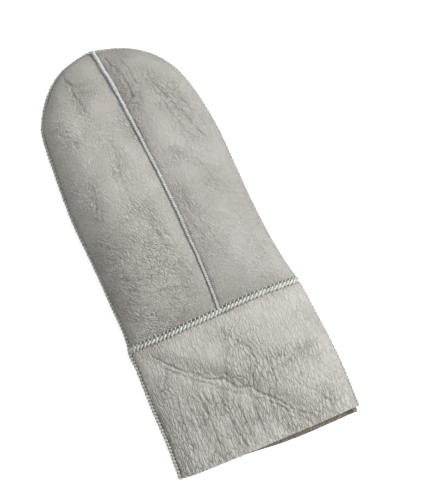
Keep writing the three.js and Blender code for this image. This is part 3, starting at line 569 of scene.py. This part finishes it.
def hand_relief(x, y, spread):
    laid, near = crease_set(x, y, HAND_CREASES)
    worn = smooth(0.5 + 0.8 * lattice_noise(x / 21, y / 30, 21))
    low_left = smooth((105 - y) / 45) * smooth((6 - x) / 25)
    edge_left = smooth((-32 - x) / 16)
    lengthwise = wrinkle_net(spread + 0.3 * y, y, 2.0, 14.0, 11) * worn
    slanting = wrinkle_net(0.9 * spread + 0.44 * y, 0.44 * x - 0.9 * y, 2.0, 12.0, 31) * (1 - 0.8 * worn)
    low_slanting = wrinkle_net(0.85 * x + 0.52 * y, 0.52 * x - 0.85 * y, 1.9, 12.0, 35)
    crosswise = wrinkle_net(y + 0.4 * x, spread, 1.9, 10.0, 51)
    net = (0.11 * lengthwise + 0.09 * slanting) * (0.5 + 0.9 * near) * (1 - 0.7 * low_left)
    net += 0.22 * low_slanting * low_left + 0.14 * crosswise * np.maximum(0.5 * low_left, 0.6 * edge_left)
    broad = 0.5 * lattice_noise(x / 19, y / 30, 41) + 0.08 * lattice_noise(x / 7, y / 10, 42)
    beside_seam = smooth((y - 140) / 20) * smooth(1 - np.abs(x - 9) / 10)
    wrinkled = 0.5 + 0.7 * np.clip(near + low_left + 0.8 * edge_left + beside_seam, 0, 1) + 0.25 * low_left
    return net + 0.7 * laid, broad, wrinkled


def cuff_relief(x, y, spread):
    laid, near = crease_set(x, y, CUFF_CREASES)
    lower = smooth((-20 - y) / 35) * smooth((42 - x) / 30)
    right = smooth((x - 12) / 25) * smooth((-12 - y) / 20)
    lengthwise = wrinkle_net(spread - 0.1 * y, y, 2.6, 22.0, 61) * (0.3 + 0.7 * lower)
    slanting = wrinkle_net(0.9 * spread + 0.44 * y, 0.44 * x - 0.9 * y, 2.2, 14.0, 65) * (1 - 0.7 * lower)
    crosswise = wrinkle_net(y - 0.15 * x, spread, 1.9, 10.0, 67) * right
    net = (0.4 * lengthwise + 0.12 * slanting) * (0.6 + 0.6 * near) * (1 - 0.4 * right) + 0.16 * crosswise
    broad = 0.42 * lattice_noise(x / 16, y / 28, 71) + 0.1 * lattice_noise(x / 6, y / 11, 72)
    return net + laid, broad, 0.5 + 0.55 * np.clip(near + lower + 0.35 * right, 0, 1)


def under_cuff_relief(x, y, spread):
    net = wrinkle_net(spread + 0.1 * y, y, 2.6, 14.0, 161)
    return 0.22 * net, 0.5 * lattice_noise(x / 14, y / 24, 171), np.full_like(x, 0.7)


def palm_relief(x, y, spread):
    net = wrinkle_net(spread + 0.3 * y, y, 2.6, 12.0, 91)
    return 0.2 * net, 0.4 * lattice_noise(x / 16, y / 20, 92), np.full_like(x, 0.6)


def thumb_relief(x, y, spread):
    net = wrinkle_net(x + 0.55 * y, y - 0.4 * x, 2.8, 12.0, 101)
    return 0.25 * net, 0.45 * lattice_noise(x / 12, y / 15, 102), np.full_like(x, 0.8)


# The panels

HAND_MESH_ROWS = int((TIP_Q - q_at(2.6)) / MESH_STEP)
outer_leather = leather_sheet(
    "back_leather_outer",
    skin_shape(at_line(CUFF_SEAM, SEAM_GAP), at_tip, little_turn, shifted(centre_turn, CENTRE_GAP)),
    HAND_MESH_ROWS, 118, hand_relief, tucked=(1.2, 1, 1, 1))
index_leather = leather_sheet(
    "back_leather_index",
    skin_shape(at_line(CUFF_SEAM, SEAM_GAP), at_tip, shifted(centre_turn, -CENTRE_GAP), index_turn),
    HAND_MESH_ROWS, 126, hand_relief, tucked=(0.65, 1, 1, 1))
cuff_back_leather = leather_sheet(
    "cuff_leather_back",
    skin_shape(at_line(HEM_BACK, 0.0), at_line(CUFF_SEAM, -SEAM_GAP), little_turn, index_turn),
    160, 250, cuff_relief, tucked=(1.25, 1, 0, 1.35))
cuff_palm_leather = leather_sheet(
    "cuff_leather_palm",
    skin_shape(at_line(HEM_PALM, 0.0), at_line(CUFF_SEAM, -SEAM_GAP), index_turn_below, little_turn),
    88, 120, under_cuff_relief, tucked=(1, 1, 0, 1))
palm_tip_leather = leather_sheet(
    "palm_leather_tip",
    skin_shape(at_line(PALM_SEAM, SEAM_GAP), at_tip, index_turn_below, little_turn),
    110, 105, palm_relief)
palm_leather = leather_sheet(
    "palm_leather_main",
    skin_shape(at_line(CUFF_SEAM, SEAM_GAP), at_line(PALM_SEAM, -SEAM_GAP), index_turn_below, little_turn),
    120, 120, palm_relief,
    dropped=lambda p: (p[..., 0] > 38.5) & (p[..., 1] < line_y(CROTCH_SEAM, p[..., 0]) + SEAM_GAP))
thumb_inner_leather = leather_sheet(
    "palm_leather_thumb", thumb_shape(INNER_EDGE, False), 100, 50, thumb_relief, tucked=(1, 0, 0, 0))
thumb_leather = leather_sheet(
    "thumb_leather", thumb_shape(FAR_EDGE, True), 120, 60, thumb_relief, tucked=(0.4, 1, 1, 0))


# Seams: a welt of leather edges under slanted loops of thread


def skin_path(q, turn):
    """Points on the skin and the way out of it there."""
    points = skin_at(q, turn)
    by_q = skin_at(q + 0.4, turn) - skin_at(q - 0.4, turn)
    by_turn = skin_at(q, turn + 0.01) - skin_at(q, turn - 0.01)
    normal = np.cross(by_q, by_turn)
    return points, normal / np.maximum(np.linalg.norm(normal, axis=-1, keepdims=True), 1e-9)


def across_path(line, start, end, count=240):
    """Path over the skin that follows a line in plan, between two turns."""
    w = np.linspace(0, 1, count)
    q = np.full(count, q_at(line_y(line, 0.0)))
    for _ in range(8):
        points = skin_at(q, mix(start(q), end(q), w))
        q = q_at(line_y(line, points[:, 0]))
    return skin_path(q, mix(start(q), end(q), w))


def both(path_and_out, step, closed=False):
    """Evens out a path together with its outward directions."""
    path, out = path_and_out
    joined = evenly(np.hstack([path, out * 0.001]), step, closed)
    out = joined[:, 3:] / np.linalg.norm(joined[:, 3:], axis=1, keepdims=True)
    return joined[:, :3], out


def tangents(path, closed):
    if closed:
        ahead = np.roll(path, -1, axis=0) - np.roll(path, 1, axis=0)
    else:
        ahead = np.gradient(path, axis=0)
    return ahead / np.linalg.norm(ahead, axis=1, keepdims=True)


def placed(name, data):
    """A new object in the scene."""
    made = bpy.data.objects.new(name, data)
    bpy.context.collection.objects.link(made)
    return made


def welt(name, path, radius, pitch, closed=False, taper=(1.0, 1.0)):
    """A round welt, drawn in a little between the stitches."""
    path = evenly(path, pitch / 4, closed)
    curve = bpy.data.curves.new(name, "CURVE")
    curve.dimensions = "3D"
    curve.bevel_depth = radius * MM
    curve.bevel_resolution = 2
    curve.use_fill_caps = True
    spline = curve.splines.new("POLY")
    spline.points.add(len(path) - 1)
    spline.use_cyclic_u = closed
    for k, (point, place) in enumerate(zip(spline.points, to_part(path))):
        point.co = (*place, 1.0)
        point.radius = mix(*taper, k / len(path)) * (1.0 - 0.1 * math.cos(2 * math.pi * k / 4))
    select_only(placed(name, curve))
    bpy.ops.object.convert(target="MESH")
    piece = bpy.context.object
    select_only(piece)
    bpy.ops.object.shade_smooth()
    return piece


def thread_loop():
    """One stitch: an open ring of thread, its legs running down into the leather."""
    clear_selection()
    bpy.ops.mesh.primitive_torus_add(major_segments=14, minor_segments=6, major_radius=1.0,
                                     minor_radius=THREAD)
    ring = bpy.context.object
    bpy.ops.object.mode_set(mode="EDIT")
    bpy.ops.mesh.select_all(action="SELECT")
    bpy.ops.mesh.bisect(plane_co=(0, -0.45, 0), plane_no=(0, 1, 0), clear_inner=True, use_fill=True)
    bpy.ops.object.mode_set(mode="OBJECT")
    corners = np.array([vertex.co[:] for vertex in ring.data.vertices])
    faces = [list(face.vertices) for face in ring.data.polygons]
    mesh = ring.data
    bpy.data.objects.remove(ring)
    bpy.data.meshes.remove(mesh)
    return corners, faces


LOOP = thread_loop()


def stitches(name, path_and_out, pitch, radius, slant, closed=False, sideways=0.0, thick=1.0,
             taper=(1.0, 1.0)):
    """Loops of thread side by side over a welt, each a copy of one modelled loop."""
    path, out = both(path_and_out, pitch, closed)
    ahead = tangents(path, closed)
    side = np.cross(ahead, out)
    side /= np.linalg.norm(side, axis=1, keepdims=True)
    out = np.cross(side, ahead)
    rng = np.random.default_rng(len(path))
    corners, faces = LOOP
    ring = corners.copy()
    flat = np.hypot(ring[:, 0], ring[:, 1])
    ring[:, 2] *= thick
    ring[:, :2] *= (1 + (flat - 1) * thick)[:, None] / flat[:, None]
    made, made_faces = [], []
    for k in range(len(path)):
        turn = slant + rng.uniform(-0.1, 0.1)
        size = radius * rng.uniform(0.92, 1.08) * mix(*taper, k / len(path))
        along = ahead[k] * math.cos(turn) + side[k] * math.sin(turn)
        over = side[k] * math.cos(turn) - ahead[k] * math.sin(turn)
        place = path[k] + side[k] * sideways
        made_faces += [[corner + k * len(ring) for corner in face] for face in faces]
        stitch = ring[:, :1] * over / math.cos(slant) + ring[:, 1:2] * out[k] + ring[:, 2:] * along
        made.append(place + size * stitch)
    mesh = bpy.data.meshes.new(name)
    mesh.from_pydata(to_part(np.vstack(made)).tolist(), [], made_faces)
    piece = placed(name, mesh)
    select_only(piece)
    bpy.ops.object.mode_set(mode="EDIT")
    bpy.ops.mesh.select_all(action="SELECT")
    bpy.ops.mesh.normals_make_consistent(inside=False)
    bpy.ops.object.mode_set(mode="OBJECT")
    bpy.ops.object.shade_smooth()
    return piece


def seam(name, path_and_out, radius, pitch, sunk, slant=0.75, closed=False, second_row=False,
         taper=(1.0, 1.0), thick=1.3):
    """A welt and its stitches, sunk into the leather, a little uneven and clear of the floor.

    A second row is smaller and flatter, and lies beside the first."""
    path, out = path_and_out
    path = path - out * sunk
    along = np.concatenate([[0.0], np.cumsum(np.linalg.norm(np.diff(path, axis=0), axis=1))])
    side = np.cross(tangents(path, closed), out)
    path = path + side * 0.18 * lattice_noise(along / 9.0, 0 * along, len(name))[:, None]
    path[:, 2] = np.maximum(path[:, 2], 1.1 * (1 + THREAD * thick) * radius + FLOOR_GAP)
    made = [welt(name + "_welt", path, radius, pitch, closed, taper)]
    made.append(stitches(name + "_thread", (path, out), pitch, radius=radius + 0.05, slant=slant,
                         closed=closed, sideways=-0.4 * radius if second_row else 0.0, thick=thick,
                         taper=taper))
    if second_row:
        made.append(stitches(name + "_thread_low", (path - out * 0.2, out), pitch, radius=0.75 * radius,
                             slant=0.6, closed=closed, sideways=1.75 * radius, thick=1.7))
    return made


def perimeter_path():
    """Up the little-finger side from the hem, round the tip and down the index side."""
    hem_left = q_at(line_y(HEM_BACK, -72.0)) + 0.5
    hem_right = q_at(line_y(HEM_BACK, 64.0)) + 0.5
    up = np.linspace(hem_left, TIP_Q, 700)
    down = np.linspace(TIP_Q, hem_right, 700)
    left, left_out = skin_path(up, little_turn(up) - 0.04)
    right, right_out = skin_path(down, index_turn(down))
    return np.vstack([left, right]), np.vstack([left_out, right_out])


def centre_path():
    q = np.linspace(q_at(4.4), TIP_Q, 500)
    return skin_path(q, centre_turn(q))


def cuff_path():
    """All round the wrist, drawn in a little at its two sides."""
    path, out = across_path(CUFF_SEAM, lambda q: 0 * q, lambda q: 0 * q + 2 * np.pi, 500)
    return path * (0.985, 1.0, 1.0), out


def palm_path():
    return across_path(PALM_SEAM, shifted(little_turn, 2.5), shifted(index_turn_below, -3.0))


def crotch_path():
    path = evenly(through(np.array(CROTCH_SEAM[:3] + [(53.2, 75.0)]), np.linspace(0, 3, 60)), 0.5)
    y, left, right = rows_at(q_at(path[:, 1]))[:3]
    out = np.clip(2 * (path[:, 0] - left) / (right - left) - 1, -1, 1)
    return skin_path(q_at(path[:, 1]), 2 * np.pi - np.arccos(out))


def thumb_path():
    free = thumb_edges(np.linspace(0.02, 1, 200), FREE_EDGE)
    far = thumb_edges(np.linspace(1, 0.74, 60), np.array(FAR_EDGE)[:, :2])
    plan = evenly(np.vstack([free, far]), 0.6)
    ahead = tangents(plan, False)
    out = np.stack([-ahead[:, 1], ahead[:, 0], np.full(len(plan), -0.55)], axis=1)
    out /= np.linalg.norm(out, axis=1, keepdims=True)
    return np.column_stack([plan, np.full(len(plan), THUMB_HEIGHT / 2)]), out


# Materials


def linear(red, green, blue):
    """Colour of a shader from the usual 0 to 255 values."""
    parts = [c / 255 for c in (red, green, blue)]
    return (*[c / 12.92 if c <= 0.04045 else ((c + 0.055) / 1.055) ** 2.4 for c in parts], 1.0)


def new_group(name, inputs, outputs):
    group = bpy.data.node_groups.new(name, "ShaderNodeTree")
    for label, kind, value in inputs:
        socket = group.interface.new_socket(name=label, in_out="INPUT", socket_type=kind)
        if value is not None:
            socket.default_value = value
    for label, kind in outputs:
        group.interface.new_socket(name=label, in_out="OUTPUT", socket_type=kind)
    return group, group.nodes.new("NodeGroupInput"), group.nodes.new("NodeGroupOutput")


def node(tree, kind, settings=None, **links):
    """Adds a node, sets its options and links or sets its sockets by name."""
    made = tree.nodes.new(kind)
    for key, value in (settings or {}).items():
        setattr(made, key, value)
    for key, value in links.items():
        socket = made.inputs[int(key[1:])] if key[0] == "i" and key[1:].isdigit() else made.inputs[key]
        if isinstance(value, bpy.types.NodeSocket):
            tree.links.new(value, socket)
        else:
            socket.default_value = value
    return made


def arithmetic(tree, operation, a, b, clamp=False):
    return node(tree, "ShaderNodeMath", {"operation": operation, "use_clamp": clamp}, i0=a, i1=b).outputs[0]


def times(tree, a, b):
    return arithmetic(tree, "MULTIPLY", a, b)


def colour_mix(tree, fac, a, b):
    return node(tree, "ShaderNodeMix", {"data_type": "RGBA"}, i0=fac, i6=a, i7=b).outputs[2]


def vector_math(tree, operation, a, **more):
    return node(tree, "ShaderNodeVectorMath", {"operation": operation}, i0=a, **more).outputs[0]


def ramp(tree, value, low, high, to_low=0.0, to_high=1.0):
    made = node(tree, "ShaderNodeMapRange", {"interpolation_type": "SMOOTHSTEP"}, Value=value)
    made.inputs["From Min"].default_value = low
    made.inputs["From Max"].default_value = high
    made.inputs["To Min"].default_value = to_low
    made.inputs["To Max"].default_value = to_high
    return made.outputs[0]


def noise(tree, vector, scale, detail=3.0, rough=0.55):
    made = node(tree, "ShaderNodeTexNoise", None, Vector=vector, Scale=scale, Detail=detail, Roughness=rough)
    return made.outputs[0]


def jostled(tree, vector, place, scale, reach):
    """A vector pushed about by a noise that is read at a place."""
    push = node(tree, "ShaderNodeTexNoise", None, Vector=place, Scale=scale, Detail=1.0).outputs[1]
    return vector_math(tree, "ADD", vector, i1=vector_math(tree, "SCALE", push, Scale=reach))


def crack_net(tree, vector, scale, width):
    """Thin lines between irregular cells, 1 on the line."""
    cells = node(tree, "ShaderNodeTexVoronoi", {"feature": "DISTANCE_TO_EDGE"}, Vector=vector, Scale=scale)
    return ramp(tree, cells.outputs[0], 0.0, width, 1.0, 0.0)


def grain_group():
    """Height of leather: puffs between thin branching creases, a finer net of them, and pebbles."""
    group, given, result = new_group(
        "leather_grain",
        [("Vector", "NodeSocketVector", None), ("Turn", "NodeSocketFloat", 0.0),
         ("Stretch", "NodeSocketVector", (1.0, 0.5, 1.0)), ("Wrinkle Amount", "NodeSocketFloat", 1.0)],
        [("Height", "NodeSocketFloat"), ("Wrinkle", "NodeSocketFloat"), ("Pebble", "NodeSocketFloat")])
    here = given.outputs["Vector"]
    bent = jostled(group, here, here, scale=70.0, reach=0.003)
    bent = jostled(group, bent, here, scale=420.0, reach=0.0011)
    turned = node(group, "ShaderNodeVectorRotate", {"rotation_type": "Z_AXIS"}, Vector=bent,
                  Angle=given.outputs["Turn"]).outputs[0]
    drawn = vector_math(group, "MULTIPLY", turned, i1=given.outputs["Stretch"])
    where = ramp(group, noise(group, here, 38.0, 2.0), 0.36, 0.62, 0.5, 1.0)
    creases = times(group, crack_net(group, drawn, scale=500.0, width=0.17), where)
    wrinkle = times(group, creases, given.outputs["Wrinkle Amount"])
    fine_creases = times(group, crack_net(group, drawn, scale=850.0, width=0.22), 0.4)
    cells = node(group, "ShaderNodeTexVoronoi", {"feature": "SMOOTH_F1"}, Vector=bent, Scale=1100.0,
                 Smoothness=0.4)
    pebble = ramp(group, cells.outputs[0], 0.1, 0.8, 1.0, 0.0)
    height = arithmetic(group, "SUBTRACT", times(group, pebble, 0.22), wrinkle)
    height = arithmetic(group, "SUBTRACT", height, fine_creases)
    for label, value in (("Height", height), ("Wrinkle", wrinkle), ("Pebble", pebble)):
        group.links.new(value, result.inputs[label])
    return group


def dye_group():
    """Colour of leather: grey dye, paler worn places, faint tan tints, painted shade in creases, dents and by
    seams.
    """
    group, given, result = new_group(
        "leather_dye",
        [("Vector", "NodeSocketVector", None), ("Dye", "NodeSocketColor", (0.4, 0.4, 0.4, 1)),
         ("Pale", "NodeSocketColor", (0.5, 0.5, 0.5, 1)), ("Tan", "NodeSocketColor", (0.4, 0.35, 0.3, 1)),
         ("Shade", "NodeSocketColor", (0.1, 0.1, 0.1, 1)), ("Hollow", "NodeSocketFloat", 0.0),
         ("Wrinkle", "NodeSocketFloat", 0.0)],
        [("Color", "NodeSocketColor")])
    here = given.outputs["Vector"]
    worn = ramp(group, noise(group, here, 22.0), 0.35, 0.65, 0.0, 0.8)
    tone = colour_mix(group, worn, given.outputs["Dye"], given.outputs["Pale"])
    tinted = ramp(group, noise(group, here, 30.0, 2.0), 0.5, 0.75, 0.0, 0.3)
    tone = colour_mix(group, tinted, tone, given.outputs["Tan"])
    # painted shade: the tone darkens towards Shade in sunk places, beside seams and along crease lines
    dark = arithmetic(group, "ADD", times(group, given.outputs["Hollow"], 0.62),
                      times(group, given.outputs["Wrinkle"], 0.36), clamp=True)
    tone = colour_mix(group, dark, tone, given.outputs["Shade"])
    group.links.new(tone, result.inputs["Color"])
    return group


GRAIN, DYE = grain_group(), dye_group()


def plain_material(name, roughness):
    material = bpy.data.materials.new(name)
    material.use_nodes = True
    tree = material.node_tree
    shader = tree.nodes["Principled BSDF"]
    shader.inputs["Roughness"].default_value = roughness
    return material, tree, shader


def bumped(tree, shader, height, strength, distance):
    bump = node(tree, "ShaderNodeBump", None, Strength=strength, Distance=distance, Height=height)
    tree.links.new(bump.outputs["Normal"], shader.inputs["Normal"])


def leather(name, dye, pale, tan, shade, turn=-0.35, stretch=(1.4, 0.4, 1.4), wrinkle=0.78):
    """Dyed skin: three tones and a painted shade tone, then the direction, drawn shape and strength of its
    wrinkles.
    """
    material, tree, shader = plain_material(name, 0.5)
    place = tree.nodes.new("ShaderNodeTexCoord").outputs["Object"]
    grain = node(tree, "ShaderNodeGroup", {"node_tree": GRAIN}, Vector=place)
    grain.inputs["Turn"].default_value = turn
    grain.inputs["Stretch"].default_value = stretch
    wrinkled = node(tree, "ShaderNodeAttribute", {"attribute_name": "wrinkled"}).outputs["Fac"]
    tree.links.new(times(tree, wrinkled, wrinkle), grain.inputs["Wrinkle Amount"])
    # how far painted shade darkens the colour, read from the panel's points
    hollow = node(tree, "ShaderNodeAttribute", {"attribute_name": "hollow"}).outputs["Fac"]
    colour = node(tree, "ShaderNodeGroup", {"node_tree": DYE}, Vector=place, Hollow=hollow,
                  Wrinkle=grain.outputs["Wrinkle"])
    for label, value in (("Dye", dye), ("Pale", pale), ("Tan", tan), ("Shade", shade)):
        colour.inputs[label].default_value = linear(*value)
    tree.links.new(colour.outputs["Color"], shader.inputs["Base Color"])
    tree.links.new(ramp(tree, grain.outputs["Pebble"], 0.0, 1.0, 0.56, 0.42), shader.inputs["Roughness"])
    bumped(tree, shader, grain.outputs["Height"], strength=0.9, distance=0.0006)
    shader.inputs["Specular IOR Level"].default_value = 0.45
    return material


def nap(name, light, dark):
    """The pale short nap of the skin's inner side and cut edges."""
    material, tree, shader = plain_material(name, 0.95)
    place = tree.nodes.new("ShaderNodeTexCoord").outputs["Object"]
    tufts = noise(tree, place, 900.0, 4.0, 0.7)
    tone = colour_mix(tree, ramp(tree, tufts, 0.35, 0.65), linear(*dark), linear(*light))
    tree.links.new(tone, shader.inputs["Base Color"])
    bumped(tree, shader, tufts, strength=0.8, distance=0.0006)
    shader.inputs["Sheen Weight"].default_value = 0.3
    shader.inputs["Specular IOR Level"].default_value = 0.2
    return material


def yarn(name, light, dark):
    """Twisted thread: pale strands with darker twist lines."""
    material, tree, shader = plain_material(name, 0.75)
    place = tree.nodes.new("ShaderNodeTexCoord").outputs["Object"]
    strands = noise(tree, place, 1500.0, 2.0)
    tone = colour_mix(tree, ramp(tree, strands, 0.35, 0.6), linear(*dark), linear(*light))
    tree.links.new(tone, shader.inputs["Base Color"])
    bumped(tree, shader, strands, strength=0.5, distance=0.0002)
    shader.inputs["Sheen Weight"].default_value = 0.15
    shader.inputs["Specular IOR Level"].default_value = 0.25
    return material


outer_skin = leather("leather_back_outer", (181, 178, 171), (191, 188, 181), (182, 175, 163),
                     (106, 97, 85), turn=-0.5)
# darker than the outer panel's dye: painted shade that tones down the index side, which faces the window
# light
index_skin = leather("leather_back_index", (167, 164, 158), (179, 177, 171), (169, 162, 151), (108, 98, 86))
cuff_skin = leather("leather_cuff", (181, 178, 171), (188, 186, 179), (181, 174, 163), (96, 88, 77),
                    turn=0.1, stretch=(0.95, 0.21, 0.95), wrinkle=1.0)
palm_skin = leather("leather_palm", (172, 168, 161), (186, 182, 175), (178, 168, 156), (108, 98, 86))
thumb_skin = leather("leather_thumb", (178, 174, 167), (190, 186, 179), (182, 170, 156), (108, 98, 86),
                     wrinkle=1.2)
# darker than the panels: painted shade, so that the gaps between the stitches read dark
welt_leather = leather("leather_welt", (152, 150, 145), (166, 165, 160), (152, 145, 135), (96, 91, 83),
                       wrinkle=0.4)
inner_nap = nap("skin_nap", (174, 166, 152), (118, 110, 97))
thread = yarn("stitch_thread", (216, 220, 219), (166, 169, 166))
# darker than the other threads: partly dirt and partly painted shade along the edge seam
edge_thread = yarn("stitch_thread_edge", (202, 204, 199), (146, 148, 142))
cuff_thread = yarn("stitch_thread_cuff", (214, 216, 211), (172, 174, 168))
# darker than the cuff thread: painted shade on the second row, sunk in the groove beside the first
low_thread = yarn("stitch_thread_low", (200, 201, 195), (152, 153, 146))


# Pieces, the solids that they stand for and the finishes that they carry

PANELS = [
    (outer_leather, outer_skin, "back_panel_outer", "hand_leather"),
    (index_leather, index_skin, "back_panel_index", "hand_leather"),
    (cuff_back_leather, cuff_skin, "cuff_back", "cuff_leather"),
    (cuff_palm_leather, cuff_skin, "cuff_palm", "cuff_leather"),
    (palm_tip_leather, palm_skin, "palm_tip_panel", "palm_leather"),
    (palm_leather, palm_skin, "palm_panel", "palm_leather"),
    (thumb_inner_leather, palm_skin, "palm_panel", "palm_leather"),
    (thumb_leather, thumb_skin, "thumb_panel", "palm_leather"),
]
for piece, skin, cad_node, slot in PANELS:
    piece.data.materials.append(skin)
    piece.data.materials.append(inner_nap)
    finish_sheet(piece)
    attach(piece, "root")
    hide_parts(cad_node)

# Seams: path, solid and thread, then radius, distance between stitches and depth in the leather
SEAMS = [
    ("centre_seam", centre_path, "centre_back_seam", thread,
     dict(radius=0.8, pitch=1.7, sunk=-0.1, slant=0.8, taper=(0.72, 1.05), thick=1.7)),
    ("cuff_seam", cuff_path, "cuff_seam", cuff_thread,
     dict(radius=1.0, pitch=3.0, sunk=-0.1, slant=0.85, closed=True, second_row=True, thick=2.05)),
    ("side_seam", perimeter_path, "side_seam", edge_thread, dict(radius=0.95, pitch=2.6, sunk=-0.25)),
    ("palm_seam", palm_path, "palm_seam", thread, dict(radius=0.88, pitch=2.4, sunk=0.35)),
    ("thumb_seam", thumb_path, "thumb_seam", thread, dict(radius=0.9, pitch=2.5, sunk=0.6)),
    ("crotch_seam", crotch_path, "thumb_seam", thread, dict(radius=0.88, pitch=2.4, sunk=0.35)),
]
for name, route, cad_node, finish, measures in SEAMS:
    finishes = {"welt": welt_leather, "thread": finish, "low": low_thread}
    for piece in seam(name, route(), **measures):
        piece.data.materials.append(finishes[piece.name.split("_")[-1]])
        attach(piece, "root")
        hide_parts(cad_node)


# Floor, light and camera

clear_selection()
bpy.ops.mesh.primitive_plane_add(size=6.0, location=(0, 0, -0.0002))
floor = bpy.context.object
floor.name = "floor"
floor_paint, floor_tree, floor_shader = plain_material("floor_paint", 0.9)
floor_shader.inputs["Base Color"].default_value = (0.62, 0.62, 0.62, 1.0)
floor_shader.inputs["Emission Color"].default_value = (1.0, 1.0, 1.0, 1.0)
light_path = floor_tree.nodes.new("ShaderNodeLightPath")
glow = times(floor_tree, light_path.outputs["Is Camera Ray"], 0.75)
floor_tree.links.new(glow, floor_shader.inputs["Emission Strength"])
floor_shader.inputs["Specular IOR Level"].default_value = 0.0
floor.data.materials.append(floor_paint)
floor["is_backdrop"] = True

world = bpy.data.worlds.new("studio")
bpy.context.scene.world = world
world.use_nodes = True
world.node_tree.nodes["Background"].inputs["Color"].default_value = (0.98, 0.99, 1.0, 1.0)
world.node_tree.nodes["Background"].inputs["Strength"].default_value = 0.3


def soft_light(name, place, size, power):
    """A square light that faces the mitten."""
    data = bpy.data.lights.new(name, "AREA")
    data.size = size
    data.energy = power
    lamp = placed(name, data)
    lamp.location = place
    lamp.rotation_euler = (-Vector(place)).to_track_quat("-Z", "Y").to_euler()


soft_light("window_light", place=(1.35, 0.0, 1.15), size=0.8, power=24.0)
soft_light("top_light", place=(0.3, 0.25, 1.8), size=1.0, power=17.0)

# Straight above, turned so that the mitten leans as it does in the photo
VIEW_CENTRE, VIEW_HEIGHT, VIEW_TURN = (0.02097, -0.0081), 1.6, -24.0
WIDEST_LINE = 0.015  # its height over the floor
VIEW_SPAN = 0.3458  # what the long side of the picture takes in at the widest line
SENSOR = 36.0
camera_data = bpy.data.cameras.new("camera")
camera_data.lens = SENSOR * (VIEW_HEIGHT - WIDEST_LINE) / VIEW_SPAN
camera_data.clip_end = 20.0
camera = placed("camera", camera_data)
camera.location = (*VIEW_CENTRE, VIEW_HEIGHT)
camera.rotation_euler = (0.0, 0.0, math.radians(VIEW_TURN))
bpy.context.scene.camera = camera
bpy.context.scene.view_settings.view_transform = "Standard"

{"cad": cad_box, "visual": [list(corner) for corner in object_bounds()]}
